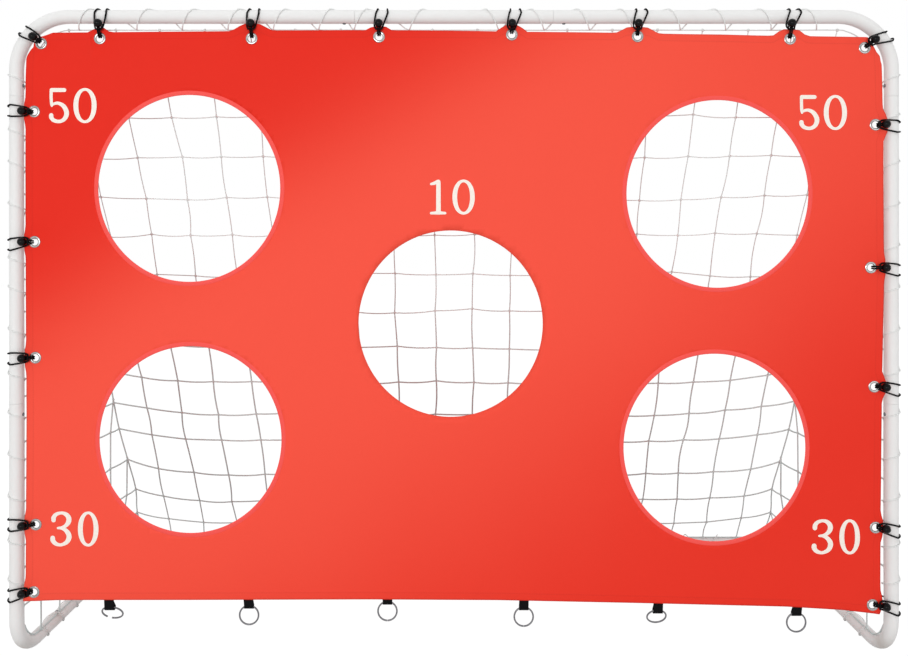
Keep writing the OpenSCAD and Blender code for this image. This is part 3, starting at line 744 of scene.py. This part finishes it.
# How the ties draw the sheet's edge out: half width of the flat, half width of the base and height
# in millimetres, across the top and down each side
DRAWN = {
    "top": [(6, 28, 12), (12, 55, 17.5), (12, 33, 10), (16, 36, 16), (18, 55, 15), (16, 44, 16)],
    "left": [(12, 42, 4.5), (12, 42, 4.5), (12, 42, 4.5), (12, 42, 4.5), (12, 42, 4.5)],
    "right": [(12, 42, 11.5), (12, 42, 4.5), (12, 36, 10), (12, 40, 7), (12, 42, 4.5)],
}


def drawn_out(group, place):
    """How far the ties of one side draw the sheet's edge out at a place along it."""
    pull = 0
    for tie, (flat, base, height) in zip(ties_along(group, corner=False), DRAWN[group]):
        away = abs(place - (tie.eyelet.x if group == "top" else tie.eyelet.z)) * 1000
        if away < base:
            pull = max(pull, height / 1000 * (1 - eased(away, flat, base)))
    return pull


def corner_polar(side, x, z):
    """Direction and distance of a place from the heart of an upper corner."""
    across, up = side * x - CORNER_HEART[0], z - CORNER_HEART[1]
    return atan2(up, across), hypot(up, across)


def corner_reach(side, angle):
    """Distance from the heart of an upper corner to its outline, in one direction."""
    polar = sorted(corner_polar(side, x, z) for x, z in CORNERS[side])
    return between(polar, angle) if polar[0][0] < angle < polar[-1][0] else 9.0


def grid_lines(length, step):
    """Places of grid lines along one side, close together at the hems."""
    *near, hem = HEM
    count = max(2, round((length - 2 * hem) / step))
    inner = [hem + (length - 2 * hem) * i / count for i in range(count + 1)]
    return [0, *near, *inner, *[length - line for line in reversed(near)], length]


def drop_inside(bm, inside, snap):
    """Cuts a hole in a grid: drops the faces inside it and draws the rim onto its outline."""
    gone = [f for f in bm.faces if inside(f.calc_center_median())]
    rim = {v for f in gone for v in f.verts}
    bmesh.ops.delete(bm, geom=gone, context="FACES")
    for vertex in rim:
        if vertex.is_valid and vertex.link_faces:
            snap(vertex)


class GOAL_OT_sheet(bpy.types.Operator):
    """Make the target sheet"""

    bl_idname = "goal.sheet"
    bl_label = "Target sheet"

    def execute(self, context):
        width, height, face = 2.032, 1.356, 0.0125
        across, up = grid_lines(width, face), grid_lines(height, face)
        bm = bmesh.new()
        bmesh.ops.create_grid(bm, x_segments=len(across) - 1, y_segments=len(up) - 1, size=1)
        edge = bm.verts.layers.float.new("edge")
        upright = bm.verts.layers.float.new("upright")
        for vertex in bm.verts:
            i = round((vertex.co.x + 1) / 2 * (len(across) - 1))
            j = round((vertex.co.y + 1) / 2 * (len(up) - 1))
            to_side, to_end = min(across[i], width - across[i]), min(up[j], height - up[j])
            vertex[edge] = min(to_side, to_end)
            vertex[upright] = 1.0 if to_side < to_end else 0.0
            u, v = across[i] / width, up[j] / height
            straight_x = -1.015 + 2.031 * u
            low, high = between(BOTTOM_LINE, straight_x), between(TOP_LINE, straight_x)
            z = low + (high - low) * v
            left, right = between(LEFT_EDGE, z), between(RIGHT_EDGE, z)
            left -= drawn_out("left", z) * (1 - eased(u, 0, 0.03))
            right += drawn_out("right", z) * eased(u, 0.97, 1)
            x = left + (right - left) * u
            vertex.co = (x, 0, z + drawn_out("top", x) * eased(v, 0.955, 1))
        for side in (-1, 1):
            self.trim_corner(bm, side)
        for tie in TIES:
            self.pierce(bm, tie.eyelet)
        for hole in HOLES:
            self.cut(bm, *hole[:4])
        for vertex in bm.verts:
            vertex.co.y = SHEET_Y - cloth_depth(vertex.co.x, vertex.co.z)
        face_front(bm)
        cloth = add_piece("target_sheet_cloth", bm, "target_cloth")
        thicken(cloth, SHEET_T)
        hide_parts("target_sheet")
        return {"FINISHED"}

    def refine(self, bm, x, z, near, shortest=0.0):
        """Splits the edges near a place in three."""
        edges = {edge for face in bm.faces for edge in face.edges
                 if (face.calc_center_median().xz - Vector((x, z))).length < near
                 and edge.calc_length() > shortest}
        bmesh.ops.subdivide_edges(bm, edges=list(edges), cuts=2, use_grid_fill=True)

    def trim_corner(self, bm, side):
        """Cuts an upper corner of the sheet to its outline."""
        heart_x, heart_z = CORNER_HEART
        self.refine(bm, side * heart_x, heart_z, 0.2)

        def outside(place):
            angle, away = corner_polar(side, place.x, place.z)
            return away > corner_reach(side, angle)

        def snap(vertex):
            angle, _ = corner_polar(side, vertex.co.x, vertex.co.z)
            reach = corner_reach(side, angle)
            if reach < 1:
                vertex.co.x = side * (heart_x + reach * cos(angle))
                vertex.co.z = heart_z + reach * sin(angle)

        drop_inside(bm, outside, snap)

    def pierce(self, bm, eyelet):
        """Opens the cloth under an eyelet."""
        self.refine(bm, eyelet.x, eyelet.z, 0.021, 0.004)
        self.cut(bm, eyelet.x, eyelet.z, EYELET_R, EYELET_R)

    def cut(self, bm, x, z, half_w, half_h):
        """Cuts an oval hole."""
        def inside(place):
            return ((place.x - x) / half_w) ** 2 + ((place.z - z) / half_h) ** 2 < 1

        def snap(vertex):
            angle = atan2((vertex.co.z - z) / half_h, (vertex.co.x - x) / half_w)
            vertex.co.x = x + half_w * cos(angle)
            vertex.co.z = z + half_h * sin(angle)

        drop_inside(bm, inside, snap)


class GOAL_OT_bindings(bpy.types.Operator):
    """Make the tape round the outer holes"""

    bl_idname = "goal.bindings"
    bl_label = "Hole bindings"

    def execute(self, context):
        bm = bmesh.new()
        for x, z, half_w, half_h, bound in HOLES:
            if bound:
                self.tape(bm, x, z, half_w, half_h)
        tape = add_piece("hole_binding_tape", bm, "bias_tape")
        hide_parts("hole_bindings")
        return {"FINISHED"}

    def tape(self, bm, x, z, half_w, half_h):
        """A flattened loop of tape folded over the hole's edge."""
        wide, thick, overlap = 0.0105, 0.0013, 0.0015
        made = bmesh.ops.create_circle(bm, segments=14, radius=1)["verts"]
        for vertex in made:
            across, deep = vertex.co.x, vertex.co.y
            vertex.co = (1 + (across * 0.5 + 0.5) * wide / half_w - overlap / half_w,
                         deep * thick * (0.75 + 0.25 * abs(across)), 0)
        loop = list({e for v in made for e in v.link_edges})
        bmesh.ops.spin(bm, geom=made + loop, cent=(0, 0, 0), axis=(0, 1, 0), dvec=(0, 0, 0),
                       angle=tau, steps=160, use_merge=True)
        for vertex in {v for v in bm.verts if not v.tag}:
            vertex.tag = True
            vertex.co.x = x + vertex.co.x * half_w
            vertex.co.z = z + vertex.co.z * half_h
            vertex.co.y += SHEET_Y - cloth_depth(vertex.co.x, vertex.co.z)
        bmesh.ops.recalc_face_normals(bm, faces=bm.faces)


# ---- printed numbers

# Strokes of each digit in hundredths of its height: x, y and width along the middle of the stroke
DIGITS = {
    "5": (60, [
        [(8.9, 94.3, 11.4), (25, 94.3, 11.4), (45.2, 94.3, 11.2)],
        [(7.7, 94.5, 9), (7.7, 75, 8.8), (8.3, 56, 8.6), (9.4, 49, 6)],
        [(8.4, 50.5, 6), (16, 55.3, 7.6), (27, 56.8, 9), (40, 51, 11.6), (48.5, 40, 13.2),
         (51.8, 28, 13.6), (48.5, 16, 12.4), (40, 7.5, 10.6), (28, 4.7, 9.8), (15, 8.2, 11),
         (8.6, 15.5, 12.4), (7.6, 22, 13)],
    ]),
    "3": (60, [
        [(11.9, 75, 13), (12.5, 83, 12.6), (20.4, 92, 10.4), (35.2, 95.8, 8.6), (47.8, 91.5, 12),
         (55.2, 82, 14.2), (54.8, 70, 13.8), (46.8, 59.5, 10.8), (36.2, 54, 8.4),
         (24.6, 52.6, 6.6)],
        [(24.6, 52.8, 6.2), (36.2, 51.8, 8.4), (47.8, 45.5, 12), (55.6, 34, 14.2), (55.4, 22, 14),
         (47.8, 11, 11.6), (32, 4.6, 8.8), (17.8, 8.4, 11.6), (10.3, 17, 13.6), (9.6, 24, 14)],
    ]),
    "1": (50, [
        [(26.6, 93.2, 12.4), (26.6, 60, 12.8), (26.6, 30, 13), (26.6, 8.4, 13.4)],
        [(5.6, 87.2, 6.6), (15, 89.6, 9.6), (26, 94.6, 10.4)],
        [(6, 4.2, 7.4), (16, 4.8, 8.6), (26.6, 5.6, 11), (36, 4.8, 8.6), (45.6, 4.2, 7.4)],
    ]),
    "0": (67, []),
}
# Middle of the zero after each digit and its half widths outside and inside, in the same hundredths
ZEROS = {"5": (104.2, 33.1, 19.1), "3": (111.0, 29.4, 15.4), "1": (98.4, 31.8, 18.4)}
NUMBERS = [
    ("50", -0.9618, 1.2898), ("50", 0.8179, 1.2734), ("10", -0.0591, 1.0728),
    ("30", -0.9600, 0.2855), ("30", 0.8463, 0.2668),
]


def brush_outline(stroke, steps=5):
    """Outline of a stroke with its own width along the way and rounded ends."""
    path = smooth_path(stroke, steps)
    left, right = [], []
    for i, point in enumerate(path):
        way = (path[min(i + 1, len(path) - 1)] - path[max(i - 1, 0)]).xy.normalized()
        side = Vector((-way.y, way.x)) * point.z / 2
        left.append(point.xy + side)
        right.append(point.xy - side)
    caps = []
    for point, before in ((path[-1], path[-2]), (path[0], path[1])):
        way = (point - before).xy.normalized()
        caps.append([point.xy + Matrix.Rotation(radians(a), 2) @ way * point.z / 2
                     for a in (60, 30, 0, -30, -60)])
    return left + caps[0] + right[::-1] + caps[1]


def ellipse(x, y, half_w, half_h, squareness=1.0, steps=56):
    points = []
    for i in range(steps):
        c, s = cos(tau * i / steps), sin(tau * i / steps)
        points.append(Vector((x + half_w * copysign(abs(c) ** squareness, c),
                              y + half_h * copysign(abs(s) ** squareness, s))))
    return points


class GOAL_OT_numbers(bpy.types.Operator):
    """Print the scores on the sheet"""

    bl_idname = "goal.numbers"
    bl_label = "Numbers"

    def execute(self, context):
        unit = context.scene.goal_cloth.number_height / 100
        bm = bmesh.new()
        layer = 0
        for text, x, z in NUMBERS:
            pen = 0
            for digit in text:
                width, strokes = DIGITS[digit]
                shapes = [[brush_outline(stroke)] for stroke in strokes]
                if digit == "0":
                    pen, outer, inner = ZEROS[text[0]]
                    shapes = [[ellipse(0, 50, outer, 50, 0.96), ellipse(0, 50, inner, 42.2, 0.98)]]
                for outlines in shapes:
                    layer = layer % 4 + 1
                    self.ink(bm, outlines, x + pen * unit, z, unit, layer)
                pen += width
        for vertex in bm.verts:
            vertex.co.y += FACE_Y - cloth_depth(vertex.co.x, vertex.co.z)
        add_piece("printed_numbers", bm, "printed_white", smooth=False)
        return {"FINISHED"}

    def ink(self, bm, outlines, x, z, unit, layer):
        """Adds one flat filled shape just in front of the cloth."""
        curve = bpy.data.curves.new("ink", "CURVE")
        curve.dimensions = "2D"
        curve.fill_mode = "FRONT"
        for outline in outlines:
            add_spline(curve, [(*place, 0) for place in outline]).use_cyclic_u = True
        mesh = mesh_of(curve)
        stand = Matrix.Translation((x, -0.00042 - layer * 0.00003, z))
        mesh.transform(stand @ Matrix.Rotation(radians(90), 4, "X") @ Matrix.Scale(unit, 4))
        bm.from_mesh(mesh)
        bpy.data.meshes.remove(mesh)
        face_front(bm)


# ---- bungees

# How a side of an elastic loop lies round the tube: angle, distance along and from the tube's axis
OVER_EDGE = [(230, 8, 26.4), (251, 8.8, 26.4), (272, 9.5, 26.2), (292, 10.1, 25.2),
             (312, 10.6, 23.4), (332, 10.9, 20.6), (350, 11, 18.7), (368, 11.2, 18.35),
             (386, 11.5, 18.35), (404, 12.2, 18.35), (422, 13, 18.35), (440, 13.8, 18.6)]
# How far each loop has slipped along the tube, in millimetres, across the top and down each side
SLIPS = {"top": [1, 3.5, 7.5, 9, 11, 14], "left": [-10, 3, -7, -3, -3, -12],
         "right": [19, 4, 6.5, 9.5, 12, 13]}
# How far the loops of the crossbar lean outwards behind it, for each metre from the middle
LEAN = 20
# How far the middle of a ball stands in front of the tube's axis, and how far in from it at most,
# in millimetres
BALL_FRONT, BALL_IN = 28.754, {"top": 22, "left": 27, "right": 27}


def loop_half(tie):
    """One side of an elastic loop, from inside the ball to the middle of the hook under it."""
    reach = tie.reach * 1000
    ball = Vector((-min(BALL_IN[tie.group], reach - 20), BALL_FRONT))
    near = 5.5 - reach
    way = (Vector((near, 20.5)) - ball).normalized()
    over = Vector((way.y, -way.x))
    hook, start = ball + 13.2 * way, ball + 5 * way
    corner, last = hook + 3.7 * over, hook + 5 * over
    points = [(2.3, *start), (2.3, near, 20.3), (2.3, near + 0.4, 13.3)]
    for degrees, along, radius in OVER_EDGE:
        angle = radians(degrees)
        if 0 < tie.out.z < 1:
            radius = min(radius, 19.4)
        points.append((along, radius * cos(angle), radius * sin(angle)))
    points += [(10.9, ball.x - 2, 21.9), (6.9, *hook), (5.3, *corner), (0, *last)]
    return points


def slipped(points, slip, lean=0):
    """Moves the part of a loop that lies round the tube along it, and leaves it at ball and eyelet.
    Where it comes down behind the tube it lies closer together and leans along the tube."""
    moved = []
    for u, v, w in points:
        behind = eased(-w, -10, 15) * (1 - eased(v, -15, 12))
        moved.append((u * (1 - 0.5 * behind) + slip * eased(v, -17, 10) + lean * behind, v, w))
    return moved


class GOAL_OT_bungees(bpy.types.Operator):
    """Make the elastic loops"""

    bl_idname = "goal.bungees"
    bl_label = "Elastic loops"

    def execute(self, context):
        radius = context.scene.goal_cord.elastic / 2
        for group, slips in SLIPS.items():
            paths = []
            for tie, slip in zip(ties_along(group), slips):
                half = loop_half(tie)
                whole = half + [(-u, v, w) for u, v, w in reversed(half[:-1])]
                lean = LEAN * tie.eyelet.x if group == "top" else 0
                paths.append(smooth_path([tie.place(*p) for p in slipped(whole, slip, lean)], 3))
            mesh = strand_mesh(paths, radius, 3)
            loops = add_piece(f"elastic_loops_{group}", mesh, "braided_elastic")
            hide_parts(f"bungee_cords_{group}")
        return {"FINISHED"}


# ---- ring tabs


class GOAL_OT_tabs(bpy.types.Operator):
    """Make the webbing tabs that hold the peg rings"""

    bl_idname = "goal.tabs"
    bl_label = "Ring tabs"

    def execute(self, context):
        strap_w, strap_t, cuts = 0.0225, 0.0012, 6
        joints = {j["child"]: j for j in frame["joints"]}
        for i in range(1, 7):
            pivot = Vector(joints[f"ring_{i}"]["pos_m"])
            path = self.profile(pivot, SHEET_Y + 0.0011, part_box(f"peg_ring_{i}"))
            bm = bmesh.new()
            points = [bm.verts.new((pivot.x - strap_w / 2, y, z)) for y, z in path]
            edges = [bm.edges.new(pair) for pair in zip(points, points[1:])]
            for _ in range(cuts):
                made = bmesh.ops.extrude_edge_only(bm, edges=edges)["geom"]
                bmesh.ops.translate(bm, vec=(strap_w / cuts, 0, 0),
                                    verts=[g for g in made if isinstance(g, bmesh.types.BMVert)])
                edges = [g for g in made if isinstance(g, bmesh.types.BMEdge)
                         and abs(g.verts[0].co.x - g.verts[1].co.x) < 1e-6]
            bmesh.ops.recalc_face_normals(bm, faces=bm.faces)
            tab = add_piece(f"ring_tab_{i}", bm, "woven_webbing", body=None)
            thicken(tab, strap_t)
            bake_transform(tab)
            if i == 1:
                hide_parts("ring_straps")
        return {"FINISHED"}

    def profile(self, pivot, sheet_back, ring):
        """Depth and height of the folded webbing, from its front layer's top to its back one's.
        The fold is deep enough for the lean of its ring."""
        wire, across = 0.004, 0.045
        lean = (ring[1].y - ring[0].y - wire) / across
        deep, high = 0.0036 + 0.0034 * lean, 0.0066
        neck = pivot.z + 0.016
        top = between(BOTTOM_LINE, pivot.x) + 0.030
        front, back = sheet_back + 0.0006, sheet_back + 0.0020
        path = [(front, top), (front, (top + neck) / 2), (front, neck + 0.003), (front, neck)]
        for k in range(13):
            angle = radians(168 + 204 * k / 12)
            path.append((pivot.y + deep * cos(angle), pivot.z + high * sin(angle)))
        path += [(back, neck), (back, neck + 0.003), (back, (top + neck) / 2), (back, top)]
        return [(p.x, p.y) for p in smooth_path([(y, z, 0) for y, z in path], 3)]


# ---- net

COLUMNS = 19
# Height of each row of knots, from the top of the net to its foot
ROWS = [1.5185, 1.427, 1.324, 1.226, 1.125, 1.025, 0.915, 0.809, 0.700, 0.590, 0.486, 0.392,
        0.278, 0.175, 0.0875, 0.0326]
LAST = len(ROWS) - 1
# How far the side net draws the edge of the back net inwards at each row
SEAM_PULL = [0, 0, 0.004, 0.006, 0.008, 0.009, 0.010, 0.012, 0.014, 0.018, 0.014, 0.012, 0.018,
             0.024, 0.012, 0]
NET_HALF_W = 1.0367
# Depth and height of the back net's upper and lower end
NET_TOP, NET_FOOT = (0.0069, 1.5299), (0.7202, 0.0327)
# The way out of the back net's slope, as depth and height
SLOPE_OUT = (0.902, 0.431)
# Rounded upper and lower corners of the back net: width, height of the arc's middle and its height
TOP_ARC, FOOT_ARC = (0.1157, 1.4017, 0.1168), (0.090, 0.1138, 0.0812)


def on_slope(x, z, lift=0.0):
    """A point of the back net at a height, lifted off it to the back."""
    share = (NET_TOP[1] - z) / (NET_TOP[1] - NET_FOOT[1])
    deep = NET_TOP[0] + (NET_FOOT[0] - NET_TOP[0]) * share
    return Vector((x, FRONT_Y + deep + lift * SLOPE_OUT[0], z + lift * SLOPE_OUT[1]))


def border_x(z):
    """Half width of the back net at a height, inside its rounded corners."""
    x = NET_HALF_W
    for (wide, middle_z, tall), up in ((TOP_ARC, 1), (FOOT_ARC, -1)):
        away = min(1, up * (z - middle_z) / tall)
        if away > 0:
            x -= wide * (1 - sqrt(1 - away ** 2))
    return x


def knot_place(i, j):
    """Knot of column i and row j."""
    x = NET_HALF_W * (2 * i / COLUMNS - 1)
    z = ROWS[j]
    if 0 < j < LAST:
        wide = min(1, (j + 1) / 6)
        z += drift(11, i * 0.35, j * 0.8, size=0.013 * wide)
        z += drift(12, i * 1.7, j * 1.9, size=0.007)
        # Low in the net the rows rise towards both sides
        z += 0.04 * max(0, abs(x) / 1.02 - 0.588) ** 2.6 / 0.0998 * (1 - eased(z, 0.70, 0.95))
        if 0 < i < COLUMNS:
            x += drift(13, i * 0.6, j * 0.45, size=0.012) + drift(14, i * 1.9, j * 1.7, size=0.006)
        else:
            x = copysign(border_x(z) - 0.004 - SEAM_PULL[j], x)
    elif 0 < i < COLUMNS:
        x += drift(15, i * 0.9, j, size=0.004)
    return x, z


def twine_fullness(z):
    """Twine hangs looser and fuller low in the net, and is stretched thin at the top."""
    return 1.32 - 0.60 * eased(z, 0.55, 1.05) - 0.25 * (1 - eased(z, 0.05, 0.3))


def string_path(a, b, sag, steps=4):
    """A slack string between two knots."""
    path = []
    for i in range(steps + 1):
        t = i / steps
        point = a.lerp(b, t)
        point.z -= sag * 4 * t * (1 - t)
        path.append(point)
    return path


def strung(knots, sag):
    """Slack strings from knot to knot as one path."""
    path = []
    for a, b in zip(knots, knots[1:]):
        path += string_path(a, b, sag)[:-1]
    return path + [knots[-1]]


class GOAL_OT_net(bpy.types.Operator):
    """Make the back net and both side nets"""

    bl_idname = "goal.net"
    bl_label = "Net"

    def execute(self, context):
        net = context.scene.goal_net
        knots = {}
        for i in range(COLUMNS + 1):
            for j in range(LAST + 1):
                if i not in (0, COLUMNS) or j not in (0, LAST):
                    lift = drift(16, i * 0.5, j * 0.5, size=0.003)
                    knots[i, j] = on_slope(*knot_place(i, j), lift)
        paths = self.back_paths(knots, net.sag)
        self.add_net("net_back_twine", paths, list(knots.values()), net.twine, "net_back")
        for side, name in zip((-1, 1), SIDES):
            paths, ties = self.side_paths(side, knots, net.sag)
            self.add_net(f"net_side_{name}_twine", paths, ties, net.twine, f"net_side_{name}")
        return {"FINISHED"}

    def back_paths(self, knots, sag):
        paths = []
        for i in range(1, COLUMNS):
            column = []
            for j in range(LAST):
                bow = drift(21, i * 1.3, j * 1.1, size=0.006)
                piece = string_path(knots[i, j], knots[i, j + 1], 0)
                for k, point in enumerate(piece):
                    point.x += bow * sin(pi * k / (len(piece) - 1))
                column += piece[:-1]
            paths.append(column + [knots[i, LAST]])
        for j in range(1, LAST):
            row = []
            for i in range(COLUMNS):
                slack = sag * (1 + drift(22, i * 1.3, j * 1.1, size=1.6))
                row += string_path(knots[i, j], knots[i + 1, j], slack)[:-1]
            paths.append(row + [knots[COLUMNS, j]])
        return paths + [self.border(knots)]

    def border(self, knots):
        """The edge cord all round the back net."""
        upper, lower = [
            [(NET_HALF_W - wide * (1 - cos(radians(a))), middle_z + tall * sin(radians(a)))
             for a in degrees]
            for (wide, middle_z, tall), degrees in ((TOP_ARC, range(78, 6, -12)),
                                                    (FOOT_ARC, range(-45, -90, -15)))]
        path = [knots[i, 0] for i in range(1, COLUMNS)]
        path += [on_slope(x, z) for x, z in upper]
        path += [knots[COLUMNS, j] for j in range(1, LAST)]
        path += [on_slope(x, z) for x, z in lower]
        path += [knots[i, LAST] for i in range(COLUMNS - 1, 0, -1)]
        path += [on_slope(-x, z) for x, z in reversed(lower)]
        path += [knots[0, j] for j in range(LAST - 1, 0, -1)]
        path += [on_slope(-x, z) for x, z in reversed(upper)]
        return smooth_path(path + [path[0]], 3)

    def side_paths(self, side, knots, sag):
        """Rows run from the post's cord to the seam, columns from the base up to the seam."""
        x, front, low = side * 1.040, 0.0166, 0.0326
        bend_deep, bend_z, bend_r = 0.09, 0.106, 0.0734
        feet = [0.0047 + 0.0954 * k for k in range(1, 7)]
        paths, ties = [], []

        def deep(point):
            return point.y - FRONT_Y

        seams = [knots[COLUMNS if side > 0 else 0, j] for j in range(1, LAST)]
        edge_x = [(deep(knot), knot.x) for knot in seams]
        edge_z = [(deep(knot), knot.z) for knot in seams]
        rows = {}
        for j, seam in enumerate(seams[1:], 2):
            start = Vector((x, FRONT_Y + front, seam.z + drift(31, j, side, size=0.006)))
            crossing = [start]
            for k, foot in enumerate(feet):
                if foot < deep(seam) - 0.03:
                    lean = drift(32, k * 0.9, j * 0.6, side, size=0.008)
                    share = (foot - front) / (deep(seam) - front)
                    wide = x + (seam.x - x) * share ** 3
                    z = start.z + (seam.z - start.z) * share + drift(33, k, j, side, size=0.008)
                    point = Vector((wide, FRONT_Y + foot + lean, z))
                    crossing.append(point)
                    rows.setdefault(k, []).append(point)
            ties += crossing
            paths.append(strung([*crossing, seam], sag))
        for k, foot in enumerate(feet):
            top = Vector((between(edge_x, foot), FRONT_Y + foot, between(edge_z, foot)))
            base = Vector((x, FRONT_Y + foot, low))
            line = [knot for knot in rows.get(k, []) if knot.z < top.z - 0.03]
            paths.append(strung([top, *line, base], 0))
            ties += [top, base]
        edge = [Vector((x, FRONT_Y + front, z)) for z in (1.425, 1.2, 0.9, 0.6, 0.3, bend_z)]
        edge += [Vector((x, FRONT_Y + bend_deep - bend_r * cos(radians(a)),
                         bend_z - bend_r * sin(radians(a)))) for a in (22, 45, 67, 90)]
        edge += [Vector((x, FRONT_Y + d, low)) for d in (0.25, 0.45, 0.628)]
        edge.append(seams[-1])
        paths.append(smooth_path(edge, 3))
        return paths, ties

    def add_net(self, name, paths, ties, twine, node):
        mesh = strand_mesh(paths, twine / 2, 1, twine_fullness)
        bm = bmesh.new()
        bm.from_mesh(mesh)
        for n, place in enumerate(ties):
            turn = Matrix.Rotation(n * 1.1, 4, (0.3, 1, 0.2))
            size = Matrix.Diagonal((1.15, 0.85, 1.0, 1.0))
            bmesh.ops.create_icosphere(bm, subdivisions=2, radius=twine * 1.02,
                                       matrix=Matrix.Translation(place) @ turn @ size)
        bpy.data.meshes.remove(mesh)
        piece = add_piece(name, bm, "twisted_twine")
        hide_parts(node)


# ---- lacing

# Pitch of the lace along each tube and its distance from the tube's axis, in millimetres
TOP_PITCH, POST_PITCH, BASE_PITCH, REAR_PITCH = 109.126, 99.817, 81, 109.1
LACE_R = 18.3


def lace_place(mid, ties, buttons, low, high, lead):
    """Where the lace passes the net's edge, moved the least that clears ties and buttons."""
    for shift in (0, 6, -6, 12, -12, 18, -18, 24, -24, 30, -30, 36, -36):
        place = mid + shift
        if (not any(low < tie - place < high for tie in ties)
                and all(abs(place + lead - button) > 6.1 for button in buttons)):
            return place
    return mid


def winding(places, pitch, edge, across, rings=24, last=16, slack=4.4):
    """Cord wound round a tube, as along, out and front: from each place by the net's edge cord over
    the front to the outside within "across", then slower round the back."""
    points = []
    for n, place in enumerate(places):
        end = n == len(places) - 1
        follow = place + pitch if end else places[n + 1]
        for i in range(last + 1 if end else rings):
            degrees = 360 * i / rings
            bulge = max(0, cos(radians(degrees))) ** 5
            radius = LACE_R + slack * bulge
            angle = radians(edge - degrees)
            along = between([(0, place), (edge, place + across), (360, follow)], degrees)
            points.append((along, radius * cos(angle), radius * sin(angle)))
    return points


class GOAL_OT_lacing(bpy.types.Operator):
    """Lace the net to the tubes"""

    bl_idname = "goal.lacing"
    bl_label = "Lacing"

    def execute(self, context):
        radius = context.scene.goal_net.lace / 2
        for side, name in zip((-1, 1), SIDES):
            self.top(side, name, radius)
            self.post(side, name, radius)
            self.base(side, name, radius)
        self.rear(radius)
        return {"FINISHED"}

    def lace(self, name, path, radius, node=None):
        cord = add_piece(name, strand_mesh([path], radius, 2), "lacing_cord")
        if node:
            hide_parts(node)

    def top(self, side, name, radius):
        ties = [-side * tie.eyelet.x * 1000 for tie in TIES if tie.group == "top"]
        places = [lace_place(-k * TOP_PITCH, ties, buttons=[-263], low=0.5, high=60.5, lead=3.9)
                  for k in range(8, 0, -1)]
        path = [Vector((-side * u / 1000, FRONT_Y - w / 1000, TOP_Z + v / 1000))
                for u, v, w in winding(places, TOP_PITCH, edge=202, across=36, slack=12.6)]
        self.lace(f"lacing_top_{name}_cord", path, radius, f"lacing_top_{name}")

    def post(self, side, name, radius):
        ties = [tie.eyelet.z * 1000 for tie in TIES if tie.group == name and tie.out.z == 0]
        places = [lace_place(1529.94 - (i + 0.5) * POST_PITCH, ties, buttons=[1382, 595],
                             low=-3.5, high=56.5, lead=6.05) for i in range(13, 0, -1)]
        path = [Vector((side * (POST_X + v / 1000), FRONT_Y - w / 1000, u / 1000))
                for u, v, w in winding(places, POST_PITCH, edge=244.23, across=23)]
        self.lace(f"lacing_post_{name}_cord", path, radius, f"lacing_post_{name}")

    def base(self, side, name, radius):
        """Along the ground tube the cord is pressed flat where the tube lies on it."""
        places = [103, 183, 263, 344, 425, 506]
        path = [Vector((side * (POST_X + w / 1000), FRONT_Y + u / 1000,
                        max(TUBE_R + v / 1000, radius)))
                for u, v, w in winding(places, BASE_PITCH, edge=334, across=75, last=23)]
        self.lace(f"lacing_base_{name}_cord", path, radius)

    def rear(self, radius):
        places = [-872.8 + REAR_PITCH * k for k in range(16)]
        path = [Vector((u / 1000, REAR_Y - w / 1000, max(TUBE_R + v / 1000, radius)))
                for u, v, w in winding(places, REAR_PITCH, edge=336, across=102, last=23)]
        self.lace("lacing_rear_cord", path, radius)


# ---- add-on

OPERATORS = (
    GOAL_OT_camera, GOAL_OT_stage, GOAL_OT_tubes, GOAL_OT_hardware, GOAL_OT_sheet,
    GOAL_OT_bindings, GOAL_OT_numbers, GOAL_OT_bungees, GOAL_OT_tabs, GOAL_OT_net,
    GOAL_OT_lacing,
)


class GOAL_PT_panel(bpy.types.Panel):
    """Sizes and colours of the goal, and a button for each piece"""

    bl_label = "Target net goal"
    bl_idname = "GOAL_PT_panel"
    bl_space_type = "VIEW_3D"
    bl_region_type = "UI"
    bl_category = "Goal"

    def draw(self, context):
        for name, group in SETTINGS.items():
            box = self.layout.box()
            box.label(text=group.__doc__)
            for key in group.__annotations__:
                box.prop(getattr(context.scene, name), key)
        for operator in OPERATORS:
            self.layout.operator(operator.bl_idname)


CLASSES = (*SETTINGS.values(), *OPERATORS, GOAL_PT_panel)


def register():
    for cls in CLASSES:
        bpy.utils.register_class(cls)
    for name, group in SETTINGS.items():
        setattr(bpy.types.Scene, name, bpy.props.PointerProperty(type=group))


def unregister():
    for name in SETTINGS:
        delattr(bpy.types.Scene, name)
    for cls in reversed(CLASSES):
        bpy.utils.unregister_class(cls)


def main():
    register()
    for operator in OPERATORS:
        _, name = operator.bl_idname.split(".")
        getattr(bpy.ops.goal, name)()


if __name__ == "__main__":
    main()
